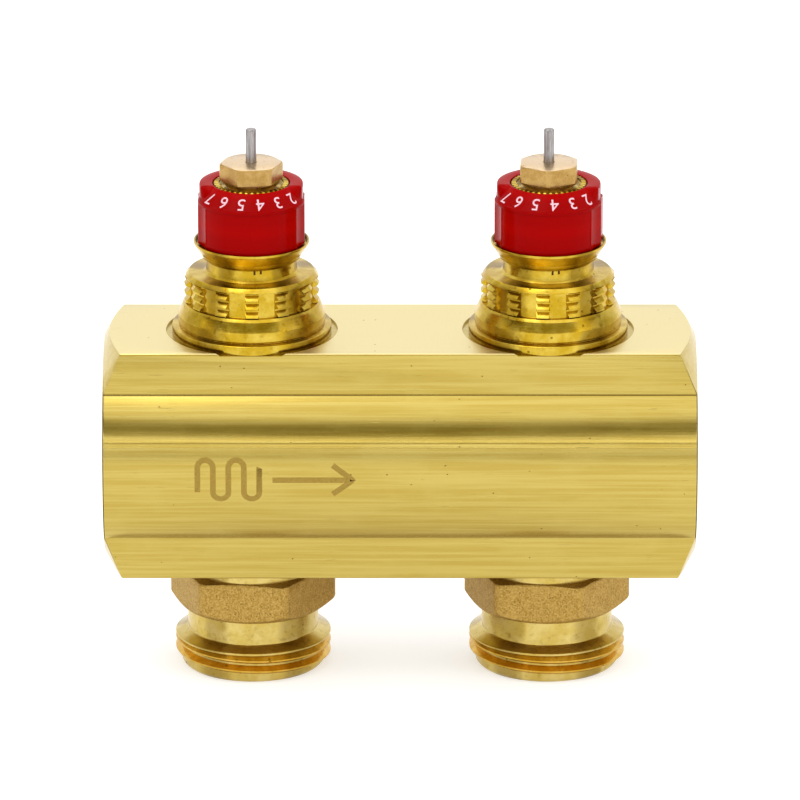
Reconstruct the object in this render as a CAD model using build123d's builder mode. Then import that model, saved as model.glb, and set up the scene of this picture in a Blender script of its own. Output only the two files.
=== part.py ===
from build123d import *
import math
import os

# Two-circuit heating manifold bar. Every length is in millimetres and every angle in degrees.
# +X runs along the bar, -Y is the front and +Z is up. The origin is midway between the two
# outlets, on the plane of their open ends. Heights called "z" below are measured from the
# bar's own axis, which lies AXIS_HEIGHT above the origin.

# --- Driving dimensions: the bar -------------------------------------------------------------
AXIS_HEIGHT = 39.2
BAR_LENGTH = 100.0
OUTLET_PITCH = 50.0
BAR_RADIUS = 18.6
PAD_HEIGHT = 20.0
PAD_HALF_WIDTH = 13.5
PAD_EDGE_ROUND = 0.3
PAD_FOOT_ROUND = 0.8
END_FACE_RADIUS = 18.3
END_CONE_RUN = 0.512
SPOT_FACE_RADIUS = 14.5
SPOT_FACE_DEPTH = 0.4
BAR_BORE_RADIUS = 14.0
PORT_RADIUS = 15.15
PORT_BOTTOM = 35.6
PORT_MOUTH_CHAMFER = 1.5
BOSS_HOLE_RADIUS = 10.48

# --- Driving dimensions: the outlet nipple -----------------------------------------------------
NIPPLE_HEX_FLATS = 25.0
NIPPLE_HEX_TOP = -21.6
NIPPLE_HEX_BOTTOM = -28.6
NIPPLE_HEX_CHAMFER = 1.1
NIPPLE_SHOULDER_RADIUS = 12.3
NIPPLE_NECK_RADIUS = 11.1
NIPPLE_THREAD_RADIUS = 13.22
NIPPLE_ROOT_RADIUS = 12.06
NIPPLE_THREAD_PITCH = 1.814
NIPPLE_NECK_BOTTOM = -32.8
NIPPLE_THREAD_TOP = -33.75
NIPPLE_THREAD_TURNS = 2
NIPPLE_END_CHAMFER = 1.0
NIPPLE_BORE_RADIUS = 7.0
NIPPLE_CONE_MOUTH_RADIUS = 9.15
NIPPLE_CONE_DEPTH = 8.0

# --- Driving dimensions: the valve insert ------------------------------------------------------
SHANK_RADIUS = 10.4
SHANK_ROOT_RADIUS = 9.5
SHANK_PITCH = 1.5
SHANK_TURNS = 3
CAGE_RADIUS = 8.8
CAGE_BORE_RADIUS = 7.6
CAGE_TOP = 13.0
CAGE_BOTTOM = -10.4
CAGE_WINDOW_WIDTH = 7.0
CAGE_WINDOW_LOW = -8.4
CAGE_WINDOW_HIGH = 6.0
BASE_FLANGE_RADIUS = 13.42
BASE_FLANGE_TOP = 21.3
FLANGE_RADIUS = 12.4
FLANGE_TOP = 23.2
COLLAR_RADIUS = 11.4
COLLAR_ROOT_RADIUS = 10.8
COLLAR_SLOT_RADIUS = 10.55
COLLAR_BOTTOM = 25.3
COLLAR_TOP = 30.5
COLLAR_RIDGES = 3
COLLAR_RIDGE_PITCH = 1.44
COLLAR_TEETH = 13
COLLAR_SLOT_FLOOR = 2.3
COLLAR_SLOT_MOUTH = 3.7
COLLAR_SLOT_REACH = 1.2
NECK_RADIUS = 7.6
CUP_BOTTOM = 33.2
CUP_RIM_RADIUS = 9.75
CUP_RIM_TOP = 35.9
CUP_WALL = 0.3
CUP_FLOOR = 35.1
STEM_RADIUS = 7.0
STEM_TOP = 42.0
STEM_BORE_RADIUS = 5.95
STEM_NOTCHES = 16
SNAP_GROOVE_BOTTOM = 37.85
SNAP_GROOVE_TOP = 38.35
SNAP_GROOVE_RADIUS = 6.7

# --- Driving dimensions: presetting parts ------------------------------------------------------
RUNNING_GAP = 0.05
DRIVER_HEAD_RADIUS = 6.3
DRIVER_HEAD_BOTTOM = 42.35
DRIVER_HEAD_TOP = 46.0
DRIVER_RIM_NOTCHES = 40
DRIVER_KEY_REACH = 6.95
DRIVER_KEY_WIDTH = 1.6
DRIVER_KEY_BOTTOM = 43.0
DRIVER_KEY_TOP = 44.4
DRIVER_RADIUS = STEM_BORE_RADIUS - RUNNING_GAP
DRIVER_BOTTOM = 7.2
DRIVER_SPIGOT_RADIUS = 4.4
DRIVER_SPIGOT_BOTTOM = 5.0
SPRING_SEAT = 12.0
SPRING_CHAMBER_RADIUS = 4.2
GLAND_THREAD_RADIUS = 4.0
GLAND_THREAD_BOTTOM = 38.0
SLEEVE_RADIUS = CAGE_BORE_RADIUS - RUNNING_GAP
SLEEVE_BORE_RADIUS = 6.3
SLEEVE_TOP = 7.1
SLEEVE_BOTTOM = -9.9
SLEEVE_CROWN = 2.1
SLEEVE_PORT_STEPS = 7
DIAL_STEP = 22.5
DIAL_SKIRT_RADIUS = 9.2
DIAL_SKIRT_FLATS = 18.0
DIAL_SKIRT_BOTTOM = 35.5
DIAL_LEDGE_RADIUS = 9.35
DIAL_LEDGE_BOTTOM = 42.9
DIAL_LEDGE_TOP = 43.6
DIAL_CROWN_RADIUS = 8.75
DIAL_TOP = 46.0
DIAL_LIP_RADIUS = 6.75
DIAL_OPENING_RADIUS = 6.5
DIAL_FRONT_ARC = 140.0
DIAL_BORE_RADIUS = 7.65
DIAL_INNER_LIP_RADIUS = 7.15
DIAL_INNER_LIP_TOP = 36.6
DIAL_CEILING = 42.55

# --- Driving dimensions: gland, pin, spindle and seat -------------------------------------------
GLAND_HEX_FLATS = 9.5
GLAND_HEX_BOTTOM = 46.5
GLAND_HEX_TOP = 49.6
GLAND_HEX_CHAMFER = 0.35
GLAND_COLLAR_RADIUS = 4.7
PACKING_RADIUS = 2.0
PACKING_TOP = 41.6
PIN_RADIUS = 0.9
PIN_BOTTOM = 33.0
PIN_TIP = 55.4
PIN_TIP_ROUND = 0.5
STROKE = 2.0
SPINDLE_RADIUS = 1.6
SPINDLE_CAP_RADIUS = 3.6
SPINDLE_CAP_HEIGHT = 2.0
SPRING_WIRE_RADIUS = 0.3
SPRING_COIL_RADIUS = 2.9
SPRING_TURNS = 9
DISC_HOLDER_RADIUS = 5.4
DISC_HOLDER_TOP = -3.0
DISC_TOP = -5.4
DISC_RADIUS = 5.8
SEAT_LIP = -10.0
SEAT_TOP = -10.4
SEAT_BOTTOM = -12.6
SEAT_BORE_RADIUS = 5.0
SEAT_LIP_RADIUS = 5.5
SEAT_RADIUS = 8.9
RING_RADIUS = 9.84
RING_SECTION = 0.62

SIDES = {
    "left": {"x": -OUTLET_PITCH / 2, "tooth": 1.0, "gland": -22.0, "nipple": 22.7, "dial": 0.0},
    "right": {"x": OUTLET_PITCH / 2, "tooth": -5.5, "gland": -2.5, "nipple": 22.5, "dial": -5.0},
}
FRONT = -90.0

os.makedirs("parts", exist_ok=True)


def keep(piece, name):
    """Label a finished piece and write it as the node of that name."""
    piece.part.label = name
    export_step(piece.part, f"parts/{name}.step")


def section_plane(x):
    """Upright plane through a valve axis: local x is the radius, local y is z."""
    return Plane(origin=(x, 0, AXIS_HEIGHT), x_dir=(1, 0, 0), z_dir=(0, -1, 0))


def turned_plane(x, angle):
    """The same upright plane, turned about the valve axis to a compass angle."""
    c, s = math.cos(math.radians(angle)), math.sin(math.radians(angle))
    return Plane(origin=(x, 0, AXIS_HEIGHT), x_dir=(c, s, 0), z_dir=(s, -c, 0))


def flat_plane(x, z):
    """Level plane centred on a valve axis at height z."""
    return Plane(origin=(x, 0, AXIS_HEIGHT + z), x_dir=(1, 0, 0), z_dir=(0, 0, 1))


def upright_axis(x):
    """The axis of the valve that stands at x."""
    return Axis((x, 0, 0), (0, 0, 1))


def ridges(first, pitch, count, crest, root):
    """Outline points of ridges that follow one another along an axis, a flat on each crest.

    The pitch is signed, so the same form runs up or down. The first point is on a crest.
    """
    points = []
    for turn in range(count):
        start = first + turn * pitch
        points += [(crest, start), (crest, start + pitch / 8)]
        points += [(root, start + pitch / 2), (root, start + pitch * 5 / 8)]
    points += [(crest, first + count * pitch), (crest, first + (count + 1 / 8) * pitch)]
    return points


def make_bar():
    """The bar: a round body between two flat pads, bored through, with ports and bosses."""
    bar_axis = Axis((0, 0, AXIS_HEIGHT), (1, 0, 0))
    half = BAR_LENGTH / 2
    valve_xs = [side["x"] for side in SIDES.values()]
    envelope_radius = END_FACE_RADIUS + 8.0
    envelope_half = half - (envelope_radius - END_FACE_RADIUS) * END_CONE_RUN
    cone_end = PORT_BOTTOM - (PORT_RADIUS - BAR_BORE_RADIUS)
    with BuildPart() as bar:
        with BuildSketch(Plane.YZ.offset(-half)):
            with Locations((0, AXIS_HEIGHT)):
                Circle(BAR_RADIUS)
                Rectangle(2 * PAD_HALF_WIDTH, 2 * PAD_HEIGHT)
        extrude(amount=BAR_LENGTH)
        long_edges = bar.edges().filter_by(Axis.X)
        pad_edges = [e for e in long_edges if abs(e.center().Z - AXIS_HEIGHT) > PAD_HEIGHT - 0.01]
        fillet(pad_edges, radius=PAD_EDGE_ROUND)
        foot_height = math.sqrt(BAR_RADIUS**2 - PAD_HALF_WIDTH**2)
        foot_edges = [
            e for e in bar.edges().filter_by(Axis.X)
            if abs(abs(e.center().Z - AXIS_HEIGHT) - foot_height) < 0.01
        ]
        fillet(foot_edges, radius=PAD_FOOT_ROUND)
        # Both ends are faced and then turned to a shallow cone.
        with BuildSketch(Plane.XZ) as envelope:
            with BuildLine():
                Polyline(
                    (-half, AXIS_HEIGHT),
                    (half, AXIS_HEIGHT),
                    (half, AXIS_HEIGHT + END_FACE_RADIUS),
                    (envelope_half, AXIS_HEIGHT + envelope_radius),
                    (-envelope_half, AXIS_HEIGHT + envelope_radius),
                    (-half, AXIS_HEIGHT + END_FACE_RADIUS),
                    close=True,
                )
            make_face()
        revolve(axis=bar_axis, mode=Mode.INTERSECT)
        # The main bore, then a port at each end at its tapping size.
        with BuildSketch(Plane.YZ.offset(-half)):
            with Locations((0, AXIS_HEIGHT)):
                Circle(BAR_BORE_RADIUS)
        extrude(amount=BAR_LENGTH, mode=Mode.SUBTRACT)
        for hand in (1, -1):
            with BuildSketch(Plane.XZ):
                with BuildLine():
                    Polyline(
                        (hand * half, AXIS_HEIGHT),
                        (hand * half, AXIS_HEIGHT + PORT_RADIUS + PORT_MOUTH_CHAMFER),
                        (hand * (half - PORT_MOUTH_CHAMFER), AXIS_HEIGHT + PORT_RADIUS),
                        (hand * PORT_BOTTOM, AXIS_HEIGHT + PORT_RADIUS),
                        (hand * cone_end, AXIS_HEIGHT + BAR_BORE_RADIUS),
                        (hand * cone_end, AXIS_HEIGHT),
                        close=True,
                    )
                make_face()
            revolve(axis=bar_axis, mode=Mode.SUBTRACT)
        # A tapped boss hole up and down at each circuit, with a spot face on the top pad.
        with BuildSketch(Plane.XY.offset(AXIS_HEIGHT - PAD_HEIGHT)):
            with Locations([(x, 0) for x in valve_xs]):
                Circle(BOSS_HOLE_RADIUS)
        extrude(amount=2 * PAD_HEIGHT, mode=Mode.SUBTRACT)
        with BuildSketch(Plane.XY.offset(AXIS_HEIGHT + PAD_HEIGHT)):
            with Locations([(x, 0) for x in valve_xs]):
                Circle(SPOT_FACE_RADIUS)
        extrude(amount=-SPOT_FACE_DEPTH, mode=Mode.SUBTRACT)
    return bar


def make_valve_body(x, tooth_angle):
    """The fixed insert: cage in the bore, threaded shank, flanges, gripping collar, cup and stem."""
    seat_plane = PAD_HEIGHT - SPOT_FACE_DEPTH
    shank = ridges(CAGE_TOP + 0.3, SHANK_PITCH, SHANK_TURNS, SHANK_RADIUS, SHANK_ROOT_RADIUS)
    groove_bottom = shank[-1][1]
    collar = ridges(COLLAR_BOTTOM, COLLAR_RIDGE_PITCH, COLLAR_RIDGES,
                    COLLAR_RADIUS, COLLAR_ROOT_RADIUS)
    outline = [(CAGE_BORE_RADIUS, CAGE_BOTTOM), (CAGE_RADIUS, CAGE_BOTTOM), (CAGE_RADIUS, CAGE_TOP)]
    outline += shank
    outline += [(SHANK_ROOT_RADIUS - 0.3, groove_bottom + 0.2), (SHANK_ROOT_RADIUS - 0.3, seat_plane)]
    outline += [(BASE_FLANGE_RADIUS, seat_plane), (BASE_FLANGE_RADIUS, BASE_FLANGE_TOP)]
    outline += [(FLANGE_RADIUS, BASE_FLANGE_TOP), (FLANGE_RADIUS, FLANGE_TOP)]
    outline += [(COLLAR_RADIUS - 0.2, COLLAR_BOTTOM - 0.4), (COLLAR_RADIUS - 0.2, COLLAR_BOTTOM)]
    outline += collar
    outline += [(COLLAR_RADIUS - 0.8, COLLAR_TOP), (NECK_RADIUS + 0.4, COLLAR_TOP)]
    outline += [(NECK_RADIUS, COLLAR_TOP + 0.4), (NECK_RADIUS, CUP_BOTTOM - 0.2)]
    outline += [(NECK_RADIUS + 0.7, CUP_BOTTOM), (CUP_RIM_RADIUS, CUP_RIM_TOP - 0.4)]
    outline += [(CUP_RIM_RADIUS, CUP_RIM_TOP), (CUP_RIM_RADIUS - CUP_WALL, CUP_RIM_TOP)]
    outline += [(CUP_RIM_RADIUS - CUP_WALL, CUP_FLOOR), (STEM_RADIUS, CUP_FLOOR)]
    outline += [(STEM_RADIUS, SNAP_GROOVE_BOTTOM), (SNAP_GROOVE_RADIUS, SNAP_GROOVE_BOTTOM)]
    outline += [(SNAP_GROOVE_RADIUS, SNAP_GROOVE_TOP), (STEM_RADIUS, SNAP_GROOVE_TOP)]
    outline += [(STEM_RADIUS, STEM_TOP), (STEM_BORE_RADIUS, STEM_TOP)]
    outline += [(STEM_BORE_RADIUS, SLEEVE_TOP + 0.6), (CAGE_BORE_RADIUS, SLEEVE_TOP + 0.6)]
    slot_height = COLLAR_TOP - COLLAR_BOTTOM - 0.9
    with BuildPart() as valve_body:
        with BuildSketch(section_plane(x)):
            with BuildLine():
                Polyline(*outline, close=True)
            make_face()
        revolve(axis=upright_axis(x))
        # Axial slots part the ridged collar into teeth.
        tooth_pitch = 360.0 / COLLAR_TEETH
        with BuildSketch(flat_plane(x, COLLAR_BOTTOM)):
            with PolarLocations(COLLAR_SLOT_RADIUS, COLLAR_TEETH,
                                start_angle=FRONT + tooth_angle + tooth_pitch / 2):
                Polygon(
                    (0, -COLLAR_SLOT_FLOOR / 2),
                    (COLLAR_SLOT_REACH, -COLLAR_SLOT_MOUTH / 2),
                    (COLLAR_SLOT_REACH, COLLAR_SLOT_MOUTH / 2),
                    (0, COLLAR_SLOT_FLOOR / 2),
                    align=None,
                )
        extrude(amount=slot_height, mode=Mode.SUBTRACT)
        # Four windows let the water out of the bar's bore into the cage.
        with BuildSketch(flat_plane(x, CAGE_WINDOW_LOW)):
            for turn in (45, -45):
                Rectangle(4 * CAGE_RADIUS, CAGE_WINDOW_WIDTH, rotation=turn)
        extrude(amount=CAGE_WINDOW_HIGH - CAGE_WINDOW_LOW, mode=Mode.SUBTRACT)
        # Notches round the top of the stem hold the dial at each setting.
        with BuildSketch(flat_plane(x, STEM_TOP)):
            with PolarLocations(STEM_RADIUS, STEM_NOTCHES):
                Circle(0.35)
        extrude(amount=-0.8, mode=Mode.SUBTRACT)
    return valve_body


def make_ring(x, z, ring_radius, section_radius):
    """A rubber ring of round section, centred on a valve axis."""
    with BuildPart() as ring:
        with BuildSketch(section_plane(x)):
            with Locations((ring_radius, z)):
                Circle(section_radius)
        revolve(axis=upright_axis(x))
    return ring


def make_washer(x, inner, outer, bottom, top):
    """A flat ring, centred on a valve axis."""
    with BuildPart() as washer:
        with BuildSketch(flat_plane(x, bottom)):
            Circle(outer)
            Circle(inner, mode=Mode.SUBTRACT)
        extrude(amount=top - bottom)
    return washer


def make_snap_ring(x):
    """The split ring on the stem that stops the lifted dial from coming off."""
    with BuildPart() as snap_ring:
        with BuildSketch(flat_plane(x, SNAP_GROOVE_BOTTOM + 0.05)):
            Circle(STEM_RADIUS + 0.45)
            Circle(SNAP_GROOVE_RADIUS, mode=Mode.SUBTRACT)
            with Locations((0, STEM_RADIUS)):
                Rectangle(1.6, 2.0, mode=Mode.SUBTRACT)
        extrude(amount=0.4)
    return snap_ring


def make_driver(x):
    """The brass driver: it carries the dial at its head and the throttle sleeve at its foot."""
    o_ring_seat = 5.0
    outline = [(SPINDLE_RADIUS + RUNNING_GAP, DRIVER_SPIGOT_BOTTOM)]
    outline += [(DRIVER_SPIGOT_RADIUS, DRIVER_SPIGOT_BOTTOM), (DRIVER_SPIGOT_RADIUS, DRIVER_BOTTOM)]
    outline += [(DRIVER_RADIUS, DRIVER_BOTTOM), (DRIVER_RADIUS, 26.0), (o_ring_seat, 26.0)]
    outline += [(o_ring_seat, 27.2), (DRIVER_RADIUS, 27.2), (DRIVER_RADIUS, DRIVER_HEAD_BOTTOM)]
    outline += [(DRIVER_HEAD_RADIUS, DRIVER_HEAD_BOTTOM), (DRIVER_HEAD_RADIUS, DRIVER_HEAD_TOP - 0.2)]
    outline += [(DRIVER_HEAD_RADIUS - 0.2, DRIVER_HEAD_TOP), (GLAND_THREAD_RADIUS, DRIVER_HEAD_TOP)]
    outline += [(GLAND_THREAD_RADIUS, GLAND_THREAD_BOTTOM)]
    outline += [(SPRING_CHAMBER_RADIUS, GLAND_THREAD_BOTTOM - 0.6), (SPRING_CHAMBER_RADIUS, SPRING_SEAT)]
    outline += [(SPINDLE_RADIUS + RUNNING_GAP, SPRING_SEAT)]
    with BuildPart() as driver:
        with BuildSketch(section_plane(x)):
            with BuildLine():
                Polyline(*outline, close=True)
            make_face()
        revolve(axis=upright_axis(x))
        # Two keys turn with the dial.
        with BuildSketch(flat_plane(x, DRIVER_KEY_BOTTOM)):
            Rectangle(2 * DRIVER_KEY_REACH, DRIVER_KEY_WIDTH)
            Circle(GLAND_THREAD_RADIUS + 0.5, mode=Mode.SUBTRACT)
        extrude(amount=DRIVER_KEY_TOP - DRIVER_KEY_BOTTOM)
        # Fine notches round the rim of the head.
        with BuildSketch(flat_plane(x, DRIVER_HEAD_TOP)):
            with PolarLocations(DRIVER_HEAD_RADIUS, DRIVER_RIM_NOTCHES):
                Rectangle(0.5, 0.3)
        extrude(amount=-0.9, mode=Mode.SUBTRACT)
    return driver


def make_throttle_sleeve(x):
    """The throttle sleeve: a cup whose stepped port opens further with each dial setting."""
    outline = [(SLEEVE_BORE_RADIUS, SLEEVE_BOTTOM), (SLEEVE_RADIUS, SLEEVE_BOTTOM)]
    outline += [(SLEEVE_RADIUS, SLEEVE_TOP), (DRIVER_SPIGOT_RADIUS, SLEEVE_TOP)]
    outline += [(DRIVER_SPIGOT_RADIUS, SLEEVE_TOP - SLEEVE_CROWN)]
    outline += [(SLEEVE_BORE_RADIUS, SLEEVE_TOP - SLEEVE_CROWN)]
    port_bottom = -7.6
    port_rise = 1.5
    with BuildPart() as sleeve:
        with BuildSketch(section_plane(x)):
            with BuildLine():
                Polyline(*outline, close=True)
            make_face()
        revolve(axis=upright_axis(x))
        for step in range(SLEEVE_PORT_STEPS):
            top = port_bottom + port_rise * (step + 1)
            with BuildSketch(turned_plane(x, FRONT + DIAL_STEP * step)):
                with Locations(((SLEEVE_RADIUS + SLEEVE_BORE_RADIUS) / 2, (port_bottom + top) / 2)):
                    Rectangle(2.0, top - port_bottom)
            revolve(axis=upright_axis(x), revolution_arc=DIAL_STEP, mode=Mode.SUBTRACT)
    return sleeve


def make_dial(x, turn):
    """The presetting dial: a faceted skirt, a full crown behind and a sloping number face in front."""
    arc_start = FRONT + turn - DIAL_FRONT_ARC / 2
    with BuildPart() as dial:
        with BuildSketch(flat_plane(x, DIAL_SKIRT_BOTTOM)):
            RegularPolygon(DIAL_SKIRT_FLATS / 2, 12, major_radius=False, rotation=turn)
            Circle(DIAL_SKIRT_RADIUS, mode=Mode.INTERSECT)
        extrude(amount=DIAL_LEDGE_BOTTOM - DIAL_SKIRT_BOTTOM)
        with BuildSketch(flat_plane(x, DIAL_LEDGE_BOTTOM)):
            Circle(DIAL_CROWN_RADIUS)
        extrude(amount=DIAL_TOP - DIAL_LEDGE_BOTTOM)
        # The ledge stands out round the front, under the number face.
        with BuildSketch(turned_plane(x, arc_start)):
            with Locations((DIAL_LEDGE_RADIUS / 2 + 3.5, (DIAL_LEDGE_BOTTOM + DIAL_LEDGE_TOP) / 2)):
                Rectangle(DIAL_LEDGE_RADIUS - 7.0, DIAL_LEDGE_TOP - DIAL_LEDGE_BOTTOM)
        revolve(axis=upright_axis(x), revolution_arc=DIAL_FRONT_ARC)
        # The number face is a cone cut into the front of the crown.
        with BuildSketch(turned_plane(x, arc_start)):
            with BuildLine():
                Polyline(
                    (DIAL_LIP_RADIUS, DIAL_TOP),
                    (DIAL_LEDGE_RADIUS - 0.25, DIAL_LEDGE_TOP),
                    (DIAL_LEDGE_RADIUS + 1.0, DIAL_LEDGE_TOP),
                    (DIAL_LEDGE_RADIUS + 1.0, DIAL_TOP + 1.0),
                    (DIAL_LIP_RADIUS, DIAL_TOP + 1.0),
                    close=True,
                )
            make_face()
        revolve(axis=upright_axis(x), revolution_arc=DIAL_FRONT_ARC, mode=Mode.SUBTRACT)
        # Inside: room for the stem, a lip that meets the snap ring, and the driver's bore and keyways.
        outline = [(0, DIAL_SKIRT_BOTTOM), (DIAL_INNER_LIP_RADIUS, DIAL_SKIRT_BOTTOM)]
        outline += [(DIAL_INNER_LIP_RADIUS, DIAL_INNER_LIP_TOP), (DIAL_BORE_RADIUS, DIAL_INNER_LIP_TOP)]
        outline += [(DIAL_BORE_RADIUS, DIAL_CEILING), (DIAL_OPENING_RADIUS, DIAL_CEILING)]
        outline += [(DIAL_OPENING_RADIUS, DIAL_TOP), (0, DIAL_TOP)]
        with BuildSketch(section_plane(x)):
            with BuildLine():
                Polyline(*outline, close=True)
            make_face()
        revolve(axis=upright_axis(x), mode=Mode.SUBTRACT)
        with BuildSketch(flat_plane(x, DIAL_CEILING)):
            Rectangle(2 * DRIVER_KEY_REACH + 0.2, DRIVER_KEY_WIDTH + 0.2)
        extrude(amount=DRIVER_KEY_TOP + 0.4 - DIAL_CEILING, mode=Mode.SUBTRACT)
    return dial


def make_gland_nut(x, turn):
    """The hexagonal gland nut that closes the driver and guides the pin."""
    corner = GLAND_HEX_FLATS / math.sqrt(3)
    outline = [(PIN_RADIUS + RUNNING_GAP, GLAND_HEX_TOP), (corner - 0.7, GLAND_HEX_TOP)]
    outline += [(corner, GLAND_HEX_TOP - GLAND_HEX_CHAMFER), (corner, GLAND_HEX_BOTTOM)]
    outline += [(PIN_RADIUS + RUNNING_GAP, GLAND_HEX_BOTTOM)]
    shank = [(PIN_RADIUS + RUNNING_GAP, GLAND_HEX_BOTTOM), (GLAND_COLLAR_RADIUS, GLAND_HEX_BOTTOM)]
    shank += [(GLAND_COLLAR_RADIUS, DRIVER_HEAD_TOP), (GLAND_THREAD_RADIUS, DRIVER_HEAD_TOP)]
    shank += [(GLAND_THREAD_RADIUS, PACKING_TOP - 2.2), (PACKING_RADIUS, PACKING_TOP - 2.2)]
    shank += [(PACKING_RADIUS, PACKING_TOP), (PIN_RADIUS + RUNNING_GAP, PACKING_TOP)]
    with BuildPart() as gland_nut:
        with BuildSketch(flat_plane(x, GLAND_HEX_BOTTOM)):
            RegularPolygon(corner, 6, rotation=FRONT + turn)
        extrude(amount=GLAND_HEX_TOP - GLAND_HEX_BOTTOM)
        with BuildSketch(section_plane(x)):
            with BuildLine():
                Polyline(*outline, close=True)
            make_face()
        revolve(axis=upright_axis(x), mode=Mode.INTERSECT)
        with BuildSketch(section_plane(x)):
            with BuildLine():
                Polyline(*shank, close=True)
            make_face()
        revolve(axis=upright_axis(x))
    return gland_nut


def make_pin(x):
    """The steel pin that an actuator head pushes down, with a rounded tip."""
    with BuildPart() as pin:
        with BuildSketch(flat_plane(x, PIN_BOTTOM)):
            Circle(PIN_RADIUS)
        extrude(amount=PIN_TIP - PIN_BOTTOM)
        fillet(pin.edges().sort_by(Axis.Z)[-1], radius=PIN_TIP_ROUND)
    return pin


def make_spindle(x):
    """The spindle: spring cap at the top, stem down through the driver, disc holder at the foot."""
    outline = [(0, PIN_BOTTOM), (SPINDLE_CAP_RADIUS, PIN_BOTTOM)]
    outline += [(SPINDLE_CAP_RADIUS, PIN_BOTTOM - SPINDLE_CAP_HEIGHT)]
    outline += [(SPINDLE_RADIUS, PIN_BOTTOM - SPINDLE_CAP_HEIGHT), (SPINDLE_RADIUS, DISC_HOLDER_TOP + 1.0)]
    outline += [(DISC_HOLDER_RADIUS, DISC_HOLDER_TOP), (DISC_HOLDER_RADIUS, DISC_TOP)]
    outline += [(1.2, DISC_TOP), (1.2, disc_bottom() - 1.0), (0, disc_bottom() - 1.0)]
    with BuildPart() as spindle:
        with BuildSketch(section_plane(x)):
            with BuildLine():
                Polyline(*outline, close=True)
            make_face()
        revolve(axis=upright_axis(x))
    return spindle


def disc_bottom():
    """Height of the open disc's sealing face: one stroke and a hair above the seat's lip."""
    return SEAT_LIP + STROKE + RUNNING_GAP


def make_spring(x):
    """The return spring between the driver's seat and the spindle's cap."""
    low = SPRING_SEAT + SPRING_WIRE_RADIUS
    high = PIN_BOTTOM - SPINDLE_CAP_HEIGHT - SPRING_WIRE_RADIUS
    pitch = (high - low) / SPRING_TURNS
    with BuildPart() as spring:
        with BuildLine() as coil:
            Helix(pitch=pitch, height=high - low, radius=SPRING_COIL_RADIUS,
                  center=(x, 0, AXIS_HEIGHT + low))
        with BuildSketch(Plane(origin=coil.line @ 0, z_dir=coil.line % 0)):
            Circle(SPRING_WIRE_RADIUS)
        sweep(path=coil.line, is_frenet=True)
    return spring


def make_seat(x):
    """The seat ring above the outlet, with a raised lip."""
    outline = [(SEAT_BORE_RADIUS, SEAT_BOTTOM), (SEAT_RADIUS, SEAT_BOTTOM), (SEAT_RADIUS, SEAT_TOP)]
    outline += [(SEAT_LIP_RADIUS + 0.4, SEAT_TOP), (SEAT_LIP_RADIUS, SEAT_LIP)]
    outline += [(SEAT_LIP_RADIUS - 0.25, SEAT_LIP), (SEAT_BORE_RADIUS, SEAT_TOP)]
    with BuildPart() as seat:
        with BuildSketch(section_plane(x)):
            with BuildLine():
                Polyline(*outline, close=True)
            make_face()
        revolve(axis=upright_axis(x))
    return seat


def make_nipple(x, turn):
    """The outlet nipple: shank in the bar, cast hexagon, turned neck and threaded cone outlet."""
    corner = NIPPLE_HEX_FLATS / math.sqrt(3)
    chamfer_run = corner - NIPPLE_HEX_FLATS / 2 + 0.25
    blank = [(0, NIPPLE_HEX_TOP), (corner - chamfer_run, NIPPLE_HEX_TOP)]
    blank += [(corner, NIPPLE_HEX_TOP - NIPPLE_HEX_CHAMFER / 2)]
    blank += [(corner, NIPPLE_HEX_BOTTOM + NIPPLE_HEX_CHAMFER)]
    blank += [(corner - chamfer_run, NIPPLE_HEX_BOTTOM), (0, NIPPLE_HEX_BOTTOM)]
    thread = ridges(NIPPLE_THREAD_TOP, -NIPPLE_THREAD_PITCH, NIPPLE_THREAD_TURNS,
                    NIPPLE_THREAD_RADIUS, NIPPLE_ROOT_RADIUS)
    shank = ridges(SEAT_BOTTOM - 1.0, -SHANK_PITCH, SHANK_TURNS, SHANK_RADIUS, SHANK_ROOT_RADIUS)
    outline = [(NIPPLE_BORE_RADIUS, SEAT_BOTTOM), (SHANK_ROOT_RADIUS, SEAT_BOTTOM)]
    outline += shank
    outline += [(SHANK_ROOT_RADIUS - 0.3, shank[-1][1] - 0.2), (SHANK_ROOT_RADIUS - 0.3, -PAD_HEIGHT)]
    outline += [(NIPPLE_SHOULDER_RADIUS, -PAD_HEIGHT), (NIPPLE_SHOULDER_RADIUS, NIPPLE_HEX_TOP)]
    outline += [(NIPPLE_NECK_RADIUS, NIPPLE_HEX_TOP), (NIPPLE_NECK_RADIUS, NIPPLE_NECK_BOTTOM)]
    outline += thread
    outline += [(NIPPLE_ROOT_RADIUS + 0.2, thread[-1][1] - NIPPLE_END_CHAMFER)]
    outline += [(NIPPLE_ROOT_RADIUS, -AXIS_HEIGHT), (NIPPLE_CONE_MOUTH_RADIUS, -AXIS_HEIGHT)]
    outline += [(NIPPLE_BORE_RADIUS, -AXIS_HEIGHT + NIPPLE_CONE_DEPTH)]
    with BuildPart() as nipple:
        with BuildSketch(flat_plane(x, NIPPLE_HEX_BOTTOM)):
            RegularPolygon(corner, 6, rotation=FRONT + turn)
        extrude(amount=NIPPLE_HEX_TOP - NIPPLE_HEX_BOTTOM)
        with BuildSketch(section_plane(x)):
            with BuildLine():
                Polyline(*blank, close=True)
            make_face()
        revolve(axis=upright_axis(x), mode=Mode.INTERSECT)
        with BuildSketch(flat_plane(x, NIPPLE_HEX_BOTTOM)):
            Circle(NIPPLE_BORE_RADIUS)
        extrude(amount=NIPPLE_HEX_TOP - NIPPLE_HEX_BOTTOM, mode=Mode.SUBTRACT)
        with BuildSketch(section_plane(x)):
            with BuildLine():
                Polyline(*outline, close=True)
            make_face()
        revolve(axis=upright_axis(x))
    return nipple


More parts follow.
